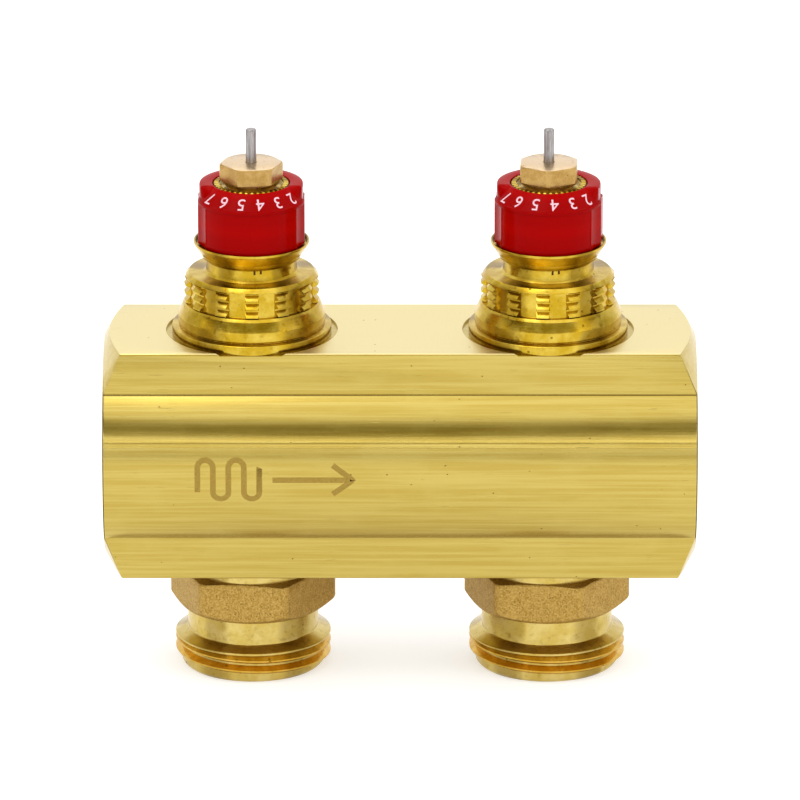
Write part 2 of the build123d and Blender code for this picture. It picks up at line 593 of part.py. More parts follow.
keep(make_bar(), "manifold_bar")
for name, side in SIDES.items():
    x = side["x"]
    ring_depth = PAD_HEIGHT - SPOT_FACE_DEPTH - RING_SECTION - 0.1
    keep(make_valve_body(x, side["tooth"]), f"valve_body_{name}")
    keep(make_ring(x, ring_depth, RING_RADIUS, RING_SECTION), f"body_o_ring_{name}")
    keep(make_driver(x), f"preset_driver_{name}")
    keep(make_ring(x, 26.6, 5.45, 0.45), f"driver_o_ring_{name}")
    keep(make_throttle_sleeve(x), f"throttle_sleeve_{name}")
    keep(make_washer(x, STEM_BORE_RADIUS + 0.1, 6.6, STEM_TOP, DRIVER_HEAD_BOTTOM - 0.05),
         f"thrust_washer_{name}")
    keep(make_snap_ring(x), f"dial_snap_ring_{name}")
    keep(make_dial(x, side["dial"]), f"preset_dial_{name}")
    keep(make_gland_nut(x, side["gland"]), f"gland_nut_{name}")
    keep(make_ring(x, PACKING_TOP - 0.6, 1.46, 0.5), f"gland_o_ring_{name}")
    keep(make_pin(x), f"actuator_pin_{name}")
    keep(make_spindle(x), f"valve_spindle_{name}")
    keep(make_washer(x, 1.2, DISC_RADIUS, disc_bottom(), DISC_TOP), f"valve_disc_{name}")
    keep(make_spring(x), f"return_spring_{name}")
    keep(make_seat(x), f"valve_seat_{name}")
    keep(make_nipple(x, side["nipple"]), f"outlet_nipple_{name}")
    keep(make_ring(x, -PAD_HEIGHT + RING_SECTION + 0.1, RING_RADIUS, RING_SECTION),
         f"nipple_o_ring_{name}")
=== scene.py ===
"""Visible shapes, finishes, camera and light of a two-circuit heating manifold bar.

The bar lies along X with its front towards -Y. Two valve inserts with numbered dials stand on it
and two outlet nipples hang below. Shapes are worked out in millimetres, with heights measured from
the bar's own axis, and are turned into metres as each mesh is finished.
"""
import logging
import math
from dataclasses import dataclass, field
from enum import Enum
from typing import Any, Iterable, Mapping, Sequence

import bmesh
import bpy
import numpy as np
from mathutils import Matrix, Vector


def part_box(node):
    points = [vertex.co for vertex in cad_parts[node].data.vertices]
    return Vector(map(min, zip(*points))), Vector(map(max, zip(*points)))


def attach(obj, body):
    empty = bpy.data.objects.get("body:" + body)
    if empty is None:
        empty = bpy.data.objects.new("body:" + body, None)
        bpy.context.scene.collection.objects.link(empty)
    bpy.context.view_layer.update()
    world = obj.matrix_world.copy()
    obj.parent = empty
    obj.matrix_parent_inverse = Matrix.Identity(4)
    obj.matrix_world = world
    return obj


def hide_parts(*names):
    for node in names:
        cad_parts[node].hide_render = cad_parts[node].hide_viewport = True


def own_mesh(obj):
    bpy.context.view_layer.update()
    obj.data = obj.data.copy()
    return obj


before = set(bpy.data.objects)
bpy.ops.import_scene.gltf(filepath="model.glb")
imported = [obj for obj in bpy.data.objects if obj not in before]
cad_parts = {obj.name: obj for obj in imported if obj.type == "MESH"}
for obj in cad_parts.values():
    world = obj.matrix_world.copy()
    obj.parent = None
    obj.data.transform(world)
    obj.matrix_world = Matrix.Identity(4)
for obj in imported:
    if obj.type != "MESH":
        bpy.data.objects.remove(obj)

LOG = logging.getLogger("manifold")
MM = 0.001
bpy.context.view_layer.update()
FRONT = -90.0
SHARP_ANGLE = math.radians(28)

Number = float | np.ndarray
Corner = tuple[float, float, float]
Colour = tuple[float, float, float]


class Side(Enum):
    """The two circuits of the bar."""

    LEFT = "left"
    RIGHT = "right"


class Lay(Enum):
    """The direction of a ring mesh's axis."""

    UPRIGHT = "upright"
    LEVEL = "level"


# --- Where things are, read from the frame -----------------------------------------------------


def node_span(node: str) -> tuple[Vector, Vector]:
    """Give a CAD node's lowest and highest corners in millimetres."""
    low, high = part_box(node)
    return low / MM, high / MM


def bar_axis_height() -> float:
    """Height of the bar's axis above the outlet ends, in millimetres."""
    low, high = node_span("manifold_bar")
    return (low.z + high.z) / 2


AXIS_HEIGHT = bar_axis_height()


def valve_x(side: Side) -> float:
    """Distance of a valve's axis along the bar, in millimetres."""
    low, high = node_span(f"actuator_pin_{side.value}")
    return (low.x + high.x) / 2


# --- Node trees written as expressions ---------------------------------------------------------


class Wire:
    """An output socket of a node tree that takes part in Python expressions."""

    def __init__(self, board: "Board", socket: bpy.types.NodeSocket) -> None:
        """Keep the tree and the socket."""
        self.board = board
        self.socket = socket

    def __add__(self, other: Any) -> "Wire":
        """Add."""
        return self.board.math("ADD", self, other)

    __radd__ = __add__

    def __sub__(self, other: Any) -> "Wire":
        """Subtract."""
        return self.board.math("SUBTRACT", self, other)

    def __rsub__(self, other: Any) -> "Wire":
        """Subtract from a number."""
        return self.board.math("SUBTRACT", other, self)

    def __mul__(self, other: Any) -> "Wire":
        """Multiply."""
        return self.board.math("MULTIPLY", self, other)

    __rmul__ = __mul__

    def __truediv__(self, other: Any) -> "Wire":
        """Divide."""
        return self.board.math("DIVIDE", self, other)

    def __gt__(self, other: Any) -> "Wire":
        """Give 1 where this is greater."""
        return self.board.math("GREATER_THAN", self, other)

    def __lt__(self, other: Any) -> "Wire":
        """Give 1 where this is less."""
        return self.board.math("LESS_THAN", self, other)

    def __abs__(self) -> "Wire":
        """Drop the sign."""
        return self.board.math("ABSOLUTE", self)

    def clamped(self) -> "Wire":
        """Hold between 0 and 1."""
        return self.board.math("MINIMUM", self.board.math("MAXIMUM", self, 0.0), 1.0)

    def rise(self, low: float, high: float) -> "Wire":
        """Go smoothly from 0 at low to 1 at high."""
        inputs = {"Value": self, "From Min": low, "From Max": high}
        made = self.board.node("ShaderNodeMapRange", {"interpolation_type": "SMOOTHSTEP"}, inputs)
        return Wire(self.board, made.outputs["Result"])


class Board:
    """A node tree with one method that makes any node."""

    def __init__(self, tree: bpy.types.NodeTree) -> None:
        """Keep the tree."""
        self.tree = tree

    def node(
        self,
        kind: str,
        settings: Mapping[str, Any] | None = None,
        inputs: Mapping[str | int, Any] | None = None,
    ) -> bpy.types.Node:
        """Make a node.

        Args:
            kind: The node's Blender type.
            settings: Properties to set first; "stops" holds a ramp's positions and colours.
            inputs: Values or wires for its sockets, by name or number.

        Returns:
            The node.
        """
        made = self.tree.nodes.new(kind)
        for name, value in (settings or {}).items():
            if name == "stops":
                self._set_stops(made.color_ramp, value)
            else:
                setattr(made, name, value)
        for key, value in (inputs or {}).items():
            if isinstance(value, Wire):
                self.tree.links.new(value.socket, made.inputs[key])
            else:
                made.inputs[key].default_value = value
        return made

    @staticmethod
    def _set_stops(ramp: bpy.types.ColorRamp, stops: Sequence[tuple[float, Colour]]) -> None:
        """Give a colour ramp its stops."""
        while len(ramp.elements) < len(stops):
            ramp.elements.new(1.0)
        for element, (place, colour) in zip(ramp.elements, stops):
            element.position = place
            element.color = (*colour, 1.0)

    def math(self, operation: str, first: Any, second: Any = 0.0) -> Wire:
        """Join two values by a Math node."""
        made = self.node("ShaderNodeMath", {"operation": operation}, {0: first, 1: second})
        return Wire(self, made.outputs[0])

    def vector_math(self, operation: str, first: Any, second: Any = (0.0, 0.0, 0.0)) -> Wire:
        """Join two vectors by a Vector Math node."""
        made = self.node("ShaderNodeVectorMath", {"operation": operation}, {0: first, 1: second})
        return Wire(self, made.outputs["Vector"])

    def combine(self, x: Any, y: Any, z: Any) -> Wire:
        """Make a vector of three values."""
        made = self.node("ShaderNodeCombineXYZ", None, {"X": x, "Y": y, "Z": z})
        return Wire(self, made.outputs[0])

    def split(self, vector: Wire) -> tuple[Wire, Wire, Wire]:
        """Take a vector apart."""
        made = self.node("ShaderNodeSeparateXYZ", None, {0: vector})
        return Wire(self, made.outputs[0]), Wire(self, made.outputs[1]), Wire(self, made.outputs[2])

    def mix(self, factor: Any, first: Any, second: Any) -> Wire:
        """Blend two colours.

        Args:
            factor: 0 gives the first colour and 1 the second.
            first: A colour or a wire.
            second: A colour or a wire.

        Returns:
            The blended colour.
        """
        settings = {"data_type": "RGBA", "clamp_factor": True}
        made = self.node("ShaderNodeMix", settings, {0: factor, 6: _rgba(first), 7: _rgba(second)})
        return Wire(self, made.outputs[2])

    def noise(self, place: Wire, scale: float, detail: float = 2.0, rough: float = 0.5) -> Wire:
        """Smooth random values about 0.5."""
        inputs = {"Vector": place, "Scale": scale, "Detail": detail, "Roughness": rough}
        return Wire(self, self.node("ShaderNodeTexNoise", None, inputs).outputs[0])

    def cells(self, place: Wire, scale: float) -> tuple[Wire, Wire]:
        """Distance to the nearest cell point, and a random value that each cell keeps."""
        made = self.node("ShaderNodeTexVoronoi", None, {"Vector": place, "Scale": scale})
        return Wire(self, made.outputs["Distance"]), self.split(Wire(self, made.outputs["Color"]))[0]


def _rgba(value: Any) -> Any:
    """Give a plain colour its alpha, and leave a wire alone."""
    return value if isinstance(value, Wire) else (*value, 1.0)


# --- Finishes ----------------------------------------------------------------------------------


def from_srgb(red: float, green: float, blue: float) -> Colour:
    """Turn 0 to 255 screen values into linear light."""
    return tuple(
        v / 12.92 if v <= 0.04045 else ((v + 0.055) / 1.055) ** 2.4
        for v in (red / 255, green / 255, blue / 255)
    )


@dataclass(frozen=True)
class Finish:
    """A surface finish. Each kind paints its own material from object coordinates.

    Attributes:
        name: The material's name.
        slot: The record's material slot; nothing reads it.
    """

    name: str
    slot: str

    def material(self) -> bpy.types.Material:
        """Give the finish's material, made once. The frame's own materials keep the slots' names."""
        label = f"{self.name}_finish"
        made = bpy.data.materials.get(label)
        if made is None:
            made = bpy.data.materials.new(label)
            made.use_nodes = True
            made.node_tree.nodes.clear()
            board = Board(made.node_tree)
            shader = board.node("ShaderNodeBsdfPrincipled")
            board.node("ShaderNodeOutputMaterial", None, {0: Wire(board, shader.outputs[0])})
            place = Wire(board, board.node("ShaderNodeTexCoord").outputs["Object"])
            self.paint(board, shader, board.vector_math("MULTIPLY", place, (1 / MM,) * 3))
        return made

    def paint(self, board: Board, shader: bpy.types.Node, place: Wire) -> None:
        """Wire the shader.

        Args:
            board: The material's tree.
            shader: Its Principled node.
            place: Object coordinates in millimetres.
        """
        raise NotImplementedError

    @staticmethod
    def plug(board: Board, shader: bpy.types.Node, **values: Any) -> None:
        """Set or link the shader's sockets, named with _ for a space."""
        for name, value in values.items():
            socket = shader.inputs[name.replace("_", " ")]
            if isinstance(value, Wire):
                board.tree.links.new(value.socket, socket)
            elif isinstance(value, tuple):
                socket.default_value = (*value, 1.0)
            else:
                socket.default_value = value

    @staticmethod
    def relief(board: Board, height: Wire, depth: float) -> Wire:
        """Turn a height of 0 to 1 into a normal.

        Args:
            board: The tree.
            height: The height.
            depth: What a height of 1 stands for, in millimetres.

        Returns:
            The bumped normal.
        """
        inputs = {"Strength": 1.0, "Distance": depth * MM, "Height": height}
        return Wire(board, board.node("ShaderNodeBump", None, inputs).outputs[0])

    @staticmethod
    def around_valve(board: Board, place: Wire) -> tuple[Wire, Wire]:
        """Give the distance from the nearer valve axis, and the height, in millimetres."""
        x, y, z = board.split(place)
        off_axis = abs(x) - valve_x(Side.RIGHT)
        return board.math("SQRT", off_axis * off_axis + y * y), z


@dataclass(frozen=True)
class DrawnBrass(Finish):
    """Extruded bar brass: draw lines along the bar, milled pads, turned ends, nicks and scratches, a
    painted paler sheen on the upper pad and painted shade in the crease at its foot.
    """

    tint: Colour = from_srgb(192, 171, 92)
    deep: Colour = from_srgb(180, 156, 74)
    # Painted sheen: the paler colour that only the upper pad's face gets, standing in for its bright
    # grazing reflection.
    milled: Colour = from_srgb(222, 206, 150)
    # The stain colour marks real nicks and scratches, and also serves the painted shade in the crease at
    # the upper pad's foot.
    stain: Colour = from_srgb(110, 84, 24)
    pad_height: float = 20.0
    foot_height: float = 12.8

    def paint(self, board: Board, shader: bpy.types.Node, place: Wire) -> None:
        """Wire the shader: see Finish.paint."""
        x, y, z = board.split(place)
        rise = z - AXIS_HEIGHT
        on_pad = (abs(rise) > self.pad_height - 0.08).clamped()
        fine_lines = board.noise(board.combine(x * 0.05, y * 7.0, z * 7.0), 1.0, 3.0, 0.6)
        wide_lines = board.noise(board.combine(x * 0.03, y * 1.6, z * 1.6), 1.0, 3.0, 0.6)
        ticks = board.noise(board.combine(x * 2.4, y * 0.9, z * 0.9), 1.0, 2.0, 0.6)
        milling = board.noise(board.combine(x * 2.6, y * 0.25, z), 1.0, 3.0, 0.6)
        clouds = board.noise(board.combine(x * 0.09, y * 0.2, z * 0.2), 1.0, 4.0, 0.6)
        scratch = board.noise(board.combine(x * 0.22, y * 5.0, z * 5.0), 1.0, 1.0).rise(0.72, 0.76)
        scratch = scratch * board.noise(place, 0.13, 1.0).rise(0.5, 0.62)
        nick, chance = board.cells(board.combine(x * 0.5, y * 0.55, z * 0.6), 1.0)
        nick = (nick < 0.075) * (chance > 0.8)
        die_line = self._die_line(board, y, rise)
        grain = fine_lines * (1.0 - on_pad) + milling * on_pad
        colour = board.mix(wide_lines.rise(0.35, 0.7), self.deep, self.tint)
        colour = board.mix(clouds.rise(0.45, 0.7) * 0.5, colour, self.tint)
        # Painted sheen: the upper pad's face alone turns paler, in place of the bright reflection it gives
        # at a grazing view.
        colour = board.mix(on_pad * (rise > 0.0), colour, self.milled)
        # Painted shade: a dark line along the crease at the upper pad's foot, where the concave fillet
        # reflects the dark surround.
        foot_crease_shade = (1.0 - abs(rise - self.foot_height).rise(0.05, 0.22)) * (1.0 - on_pad)
        colour = board.mix(nick * 0.75 + scratch * 0.3 + foot_crease_shade * 0.6, colour, self.stain)
        rough = 0.12 + 0.1 * grain + 0.08 * clouds + 0.14 * on_pad + 0.2 * nick + 0.1 * scratch
        height = grain * 0.3 + wide_lines * 0.12 + ticks * 0.12 - nick * 0.6 - scratch * 0.4 + die_line
        normal = self.relief(board, height, 0.012)
        self.plug(board, shader, Base_Color=colour, Roughness=rough, Normal=normal, Metallic=1.0)

    def _die_line(self, board: Board, y: Wire, rise: Wire) -> Wire:
        """Two hair ridges that the extrusion die left along the front."""
        upper = 1.0 - abs(rise - 5.6).rise(0.0, 0.16)
        lower = 1.0 - abs(rise - 4.9).rise(0.0, 0.12)
        return (upper + lower * 0.6) * (y < -5.0)


@dataclass(frozen=True)
class TurnedBrass(Finish):
    """Lathe-turned brass: fine tool rings, a deeper gold, small stains and painted dark reflections in
    upright bands.
    """

    tint: Colour = from_srgb(206, 178, 72)
    deep: Colour = from_srgb(184, 150, 34)
    # The stain colour marks real specks and mottling, and also darkens the painted dark reflection bands.
    stain: Colour = from_srgb(96, 66, 4)
    shine: float = 0.13
    # Strength, count and first direction of the painted dark reflection bands.
    tarnish: float = 0.62
    mottling: float = 0.32
    tarnish_bands: int = 5
    tarnish_turn: float = -34.0

    def paint(self, board: Board, shader: bpy.types.Node, place: Wire) -> None:
        """Wire the shader: see Finish.paint."""
        reach, height = self.around_valve(board, place)
        rings = board.noise(board.combine(reach * 5.0, 0.0, height * 7.0), 1.0, 2.0, 0.6)
        clouds = board.noise(place, 0.32, 3.0, 0.6)
        speck, chance = board.cells(place, 0.55)
        speck = (speck < 0.13) * (chance > 0.78)
        colour = board.mix(clouds.rise(0.35, 0.7), self.deep, self.tint)
        colour = board.mix(rings.rise(0.55, 0.8) * 0.3, colour, self.tint)
        # Painted dark reflection: upright bands round the axis darken the colour where the dark surround
        # would show; the mottle is random tone.
        reflection_band = self._tarnish_band(board, place, clouds)
        mottle = board.noise(place, 0.95, 4.0, 0.7).rise(0.52, 0.75)
        colour = board.mix(reflection_band * self.tarnish + mottle * self.mottling, colour, self.stain)
        colour = board.mix(speck * 0.6, colour, self.stain)
        rough = self.shine + 0.1 * rings + 0.08 * clouds + 0.2 * speck
        normal = self.relief(board, rings * 0.8 + clouds * 0.3, 0.006)
        self.plug(board, shader, Base_Color=colour, Roughness=rough, Normal=normal, Metallic=1.0)

    def _tarnish_band(self, board: Board, place: Wire, clouds: Wire) -> Wire:
        """Painted dark reflections: soft upright bands round each valve's axis, wavy at their edges."""
        x, y, _ = board.split(place)
        off_axis = x - board.math("SIGN", x) * valve_x(Side.RIGHT)
        around = board.math("ARCTAN2", y, off_axis) - math.radians(FRONT + self.tarnish_turn)
        wave = board.math("COSINE", around * self.tarnish_bands + clouds * 1.5 - 0.75)
        return wave.rise(0.1, 1.0)


@dataclass(frozen=True)
class CastBrass(Finish):
    """Sand-cast brass: a dull grainy skin with dark pits and pale grains."""

    tint: Colour = from_srgb(196, 164, 92)
    deep: Colour = from_srgb(156, 122, 54)
    pit: Colour = from_srgb(104, 72, 26)

    def paint(self, board: Board, shader: bpy.types.Node, place: Wire) -> None:
        """Wire the shader: see Finish.paint."""
        grain = board.noise(place, 3.4, 3.0, 0.65)
        coarse = board.noise(place, 0.7, 2.0, 0.5)
        pit, chance = board.cells(place, 2.2)
        pit = (pit < 0.32) * (chance > 0.55)
        colour = board.mix(grain.rise(0.35, 0.68), self.deep, self.tint)
        colour = board.mix(coarse.rise(0.4, 0.7) * 0.3, colour, self.tint)
        colour = board.mix(pit * 0.28, colour, self.pit)
        rough = 0.46 + 0.16 * grain + 0.1 * pit
        normal = self.relief(board, grain * 0.9 + coarse * 0.4 - pit * 0.3, 0.06)
        self.plug(board, shader, Base_Color=colour, Roughness=rough, Normal=normal, Metallic=1.0)


@dataclass(frozen=True)
class SatinBrass(Finish):
    """Machined brass of the gland nuts: satin flats, a painted paler sheen on the crown's top, a few dark
    pits.
    """

    tint: Colour = from_srgb(190, 156, 96)
    deep: Colour = from_srgb(162, 126, 66)
    pit: Colour = from_srgb(84, 58, 24)
    # Painted sheen: the paler colour of the crown's top face, standing in for the light it catches from
    # above.
    faced: Colour = from_srgb(220, 194, 158)
    faced_height: float = 49.45

    def paint(self, board: Board, shader: bpy.types.Node, place: Wire) -> None:
        """Wire the shader: see Finish.paint."""
        reach, height = self.around_valve(board, place)
        brush = board.noise(board.combine(reach * 3.0, 0.0, height * 4.0), 1.0, 3.0, 0.7)
        grain = board.noise(place, 3.0, 3.0, 0.6)
        speck, chance = board.cells(place, 1.1)
        speck = (speck < 0.14) * (chance > 0.7)
        stain = board.noise(place, 0.45, 3.0, 0.6)
        colour = board.mix(grain.rise(0.25, 0.8) * 0.5 + stain.rise(0.4, 0.6) * 0.5, self.deep, self.tint)
        # Painted sheen: the crown's top face turns paler in place of the light it catches from above.
        colour = board.mix((height - AXIS_HEIGHT > self.faced_height) * 0.85, colour, self.faced)
        colour = board.mix(speck * 0.6, colour, self.pit)
        rough = 0.2 + 0.1 * grain + 0.08 * brush
        normal = self.relief(board, grain * 0.3 + brush * 0.4 - speck * 0.5, 0.01)
        self.plug(board, shader, Base_Color=colour, Roughness=rough, Normal=normal, Metallic=1.0)


@dataclass(frozen=True)
class EtchedBrass(Finish):
    """The dull, slightly brown skin that etching leaves."""

    tint: Colour = from_srgb(172, 146, 70)
    deep: Colour = from_srgb(150, 122, 50)

    def paint(self, board: Board, shader: bpy.types.Node, place: Wire) -> None:
        """Wire the shader: see Finish.paint."""
        x, y, z = board.split(place)
        frost = board.noise(place, 6.0, 3.0, 0.7)
        lines = board.noise(board.combine(x * 0.05, y * 5.0, z * 5.0), 1.0, 2.0, 0.6)
        colour = board.mix(frost.rise(0.35, 0.7), self.deep, self.tint)
        rough = 0.5 + 0.15 * frost
        normal = self.relief(board, frost + lines * 0.5, 0.01)
        self.plug(board, shader, Base_Color=colour, Roughness=rough, Normal=normal, Metallic=0.8)


@dataclass(frozen=True)
class DialPlastic(Finish):
    """Glossy moulded plastic with a faint orange peel, flow marks and handling scuffs."""

    tint: Colour = from_srgb(158, 0, 0)
    deep: Colour = from_srgb(144, 0, 0)
    scuff: Colour = from_srgb(196, 40, 38)

    def paint(self, board: Board, shader: bpy.types.Node, place: Wire) -> None:
        """Wire the shader: see Finish.paint."""
        reach, height = self.around_valve(board, place)
        peel = board.noise(place, 2.4, 2.0, 0.5)
        flow = board.noise(board.combine(reach * 0.4, 0.0, height * 0.25), 1.0, 2.0, 0.5)
        scuff = board.noise(board.combine(reach * 0.6, 0.0, height * 6.0), 1.0, 1.0).rise(0.72, 0.78)
        colour = board.mix(flow.rise(0.3, 0.7), self.deep, self.tint)
        colour = board.mix(scuff * 0.2, colour, self.scuff)
        rough = 0.14 + 0.08 * peel + 0.1 * scuff
        normal = self.relief(board, peel + flow * 0.5, 0.006)
        self.plug(board, shader, Base_Color=colour, Roughness=rough, Normal=normal, Metallic=0.0)
        self.plug(board, shader, Specular_IOR_Level=0.03)


@dataclass(frozen=True)
class NumberInk(Finish):
    """Pale stamping ink with thin patches."""

    tint: Colour = from_srgb(226, 186, 198)
    thin: Colour = from_srgb(206, 140, 154)

    def paint(self, board: Board, shader: bpy.types.Node, place: Wire) -> None:
        """Wire the shader: see Finish.paint."""
        patch = board.noise(place, 3.2, 3.0, 0.6)
        colour = board.mix(patch.rise(0.5, 0.75), self.tint, self.thin)
        rough = 0.4 + 0.2 * patch
        normal = self.relief(board, patch, 0.008)
        self.plug(board, shader, Base_Color=colour, Roughness=rough, Normal=normal, Metallic=0.0)


@dataclass(frozen=True)
class Steel(Finish):
    """Ground or drawn steel with faint rings and lengthwise streaks."""

    tint: Colour = from_srgb(172, 168, 168)
    deep: Colour = from_srgb(124, 118, 116)

    def paint(self, board: Board, shader: bpy.types.Node, place: Wire) -> None:
        """Wire the shader: see Finish.paint."""
        x, y, z = board.split(place)
        rings = board.noise(board.combine(x * 0.4, y * 0.4, z * 9.0), 1.0, 2.0, 0.6)
        streak = board.noise(board.combine(x * 5.0, y * 5.0, z * 0.3), 1.0, 2.0, 0.6)
        colour = board.mix(streak.rise(0.3, 0.7), self.deep, self.tint)
        rough = 0.24 + 0.14 * rings
        normal = self.relief(board, rings + streak * 0.6, 0.006)
        self.plug(board, shader, Base_Color=colour, Roughness=rough, Normal=normal, Metallic=1.0)


@dataclass(frozen=True)
class Moulded(Finish):
    """Rubber or dull plastic with a fine moulded grain and pale dust."""

    tint: Colour = from_srgb(38, 38, 40)
    dust: Colour = from_srgb(84, 84, 86)
    roughness: float = 0.6

    def paint(self, board: Board, shader: bpy.types.Node, place: Wire) -> None:
        """Wire the shader: see Finish.paint."""
        grain = board.noise(place, 4.0, 3.0, 0.6)
        dust = board.noise(place, 0.6, 3.0, 0.6)
        colour = board.mix(dust.rise(0.55, 0.8) * 0.5, self.tint, self.dust)
        normal = self.relief(board, grain, 0.015)
        rough = self.roughness + 0.12 * dust
        self.plug(board, shader, Base_Color=colour, Roughness=rough, Normal=normal, Metallic=0.0)


@dataclass(frozen=True)
class StudioPaper(Finish):
    """Pale sweep paper under the object, lit a little from behind."""

    tint: Colour = (0.62, 0.62, 0.62)
    shade: Colour = (0.6, 0.6, 0.6)
    glow: float = 0.52

    def paint(self, board: Board, shader: bpy.types.Node, place: Wire) -> None:
        """Wire the shader: see Finish.paint."""
        fibre = board.noise(place, 0.8, 3.0, 0.6)
        colour = board.mix(fibre, self.shade, self.tint)
        self.plug(board, shader, Base_Color=colour, Roughness=0.9, Metallic=0.0)
        self.plug(board, shader, Emission_Color=(1.0, 1.0, 1.0), Emission_Strength=self.glow)


BAR_BRASS = DrawnBrass("drawn_brass", "bar_brass")
TURNED_BRASS = TurnedBrass("turned_brass", "turned_brass")
NECK_BRASS = TurnedBrass(
    "neck_brass",
    "cast_brass",
    tint=from_srgb(206, 184, 112),
    deep=from_srgb(192, 166, 82),
    # Painted dark reflection bands, weaker on the neck.
    tarnish=0.45,
)
THREAD_BRASS = TurnedBrass(
    "thread_brass",
    "cast_brass",
    tint=from_srgb(216, 178, 84),
    deep=from_srgb(198, 154, 50),
    # Painted dark reflection bands, weaker still on the thread.
    tarnish=0.2,
)
CAST_BRASS = CastBrass("cast_brass", "cast_brass")
SATIN_BRASS = SatinBrass("satin_brass", "satin_brass")
ETCHED_BRASS = EtchedBrass("etched_brass", "bar_brass")
STAMP_DARK = EtchedBrass(
    "stamp_dark", "turned_brass", tint=from_srgb(96, 66, 14), deep=from_srgb(70, 44, 6)
)
DIAL_RED = DialPlastic("dial_red", "red_plastic")
NUMBER_INK = NumberInk("number_ink", "red_plastic")
PIN_STEEL = Steel("pin_steel", "pin_steel")
SPRING_STEEL = Steel("spring_steel", "spring_steel", tint=from_srgb(176, 178, 182))
BLACK_RUBBER = Moulded("black_rubber", "black_rubber")
GREY_PLASTIC = Moulded(
    "grey_plastic",
    "grey_plastic",
    tint=from_srgb(96, 97, 100),
    dust=from_srgb(140, 141, 144),
    roughness=0.45,
)


# --- Mesh makers -------------------------------------------------------------------------------


def rounded(corners: Sequence[Corner], steps: int = 4, closed: bool = True) -> list[tuple[float, float]]:
    """Round the corners of an outline.

    Args:
        corners: Points (radius, height, rounding); a rounding of 0 keeps the corner.
        steps: Straight pieces in each rounding.
        closed: Whether the last point joins the first.

    Returns:
        The outline's points.
    """
    points: list[tuple[float, float]] = []
    count = len(corners)
    for index, (u, v, radius) in enumerate(corners):
        here = np.array((u, v))
        before = np.array(corners[index - 1][:2])
        after = np.array(corners[(index + 1) % count][:2])
        at_end = not closed and index in (0, count - 1)
        if radius <= 0 or at_end:
            points.append((u, v))
            continue
        way_in, way_out = before - here, after - here
        length_in, length_out = np.linalg.norm(way_in), np.linalg.norm(way_out)
        way_in, way_out = way_in / length_in, way_out / length_out
        half = math.acos(float(np.clip(way_in @ way_out, -1, 1))) / 2
        cut = min(radius / math.tan(half), 0.45 * length_in, 0.45 * length_out)
        start, end = here + way_in * cut, here + way_out * cut
        for step in range(steps + 1):
            t = step / steps
            bend = (1 - t) ** 2 * start + 2 * t * (1 - t) * here + t**2 * end
            points.append((float(bend[0]), float(bend[1])))
    return points


def finish_object(name: str, bm: bmesh.types.BMesh, finish: Finish) -> bpy.types.Object:
    """Turn a mesh in millimetres into a finished object in metres.

    Args:
        name: The piece's name.
        bm: The mesh, which is freed.
        finish: Its finish.

    Returns:
        The object, at the origin.
    """
    bmesh.ops.remove_doubles(bm, verts=bm.verts, dist=1e-4)
    bmesh.ops.recalc_face_normals(bm, faces=bm.faces)
    for vertex in bm.verts:
        vertex.co *= MM
    mesh = bpy.data.meshes.new(name)
    bm.to_mesh(mesh)
    bm.free()
    return place_mesh(name, mesh, finish)


def place_mesh(name: str, mesh: bpy.types.Mesh, finish: Finish) -> bpy.types.Object:
    """Smooth a mesh except at its sharp edges, and put it in the scene with its finish."""
    mesh.name = name
    mesh.shade_smooth()
    mesh.set_sharp_from_angle(angle=SHARP_ANGLE)
    mesh.materials.clear()
    mesh.materials.append(finish.material())
    made = bpy.data.objects.new(name, mesh)
    bpy.context.scene.collection.objects.link(made)
    return made


def cut(body: bpy.types.Object, tools: Iterable[bpy.types.Object]) -> None:
    """Cut solids out of a piece, remove them, and shade the piece again."""
    for tool in tools:
        modifier = body.modifiers.new("cut", "BOOLEAN")
        modifier.operation = "DIFFERENCE"
        modifier.solver = "EXACT"
        modifier.object = tool
        graph = bpy.context.evaluated_depsgraph_get()
        mesh = bpy.data.meshes.new_from_object(body.evaluated_get(graph))
        body.modifiers.clear()
        body.data = mesh
        bpy.data.objects.remove(tool)
    body.data.shade_smooth()
    body.data.set_sharp_from_angle(angle=SHARP_ANGLE)


def hand_over(piece: bpy.types.Object, body: str, finish: Finish, *nodes: str) -> None:
    """Ride a piece on its body, and hide the CAD nodes that it stands for."""
    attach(piece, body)
    if nodes:
        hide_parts(*nodes)
    LOG.info("%s: %d faces on %s", piece.name, len(piece.data.polygons), body)


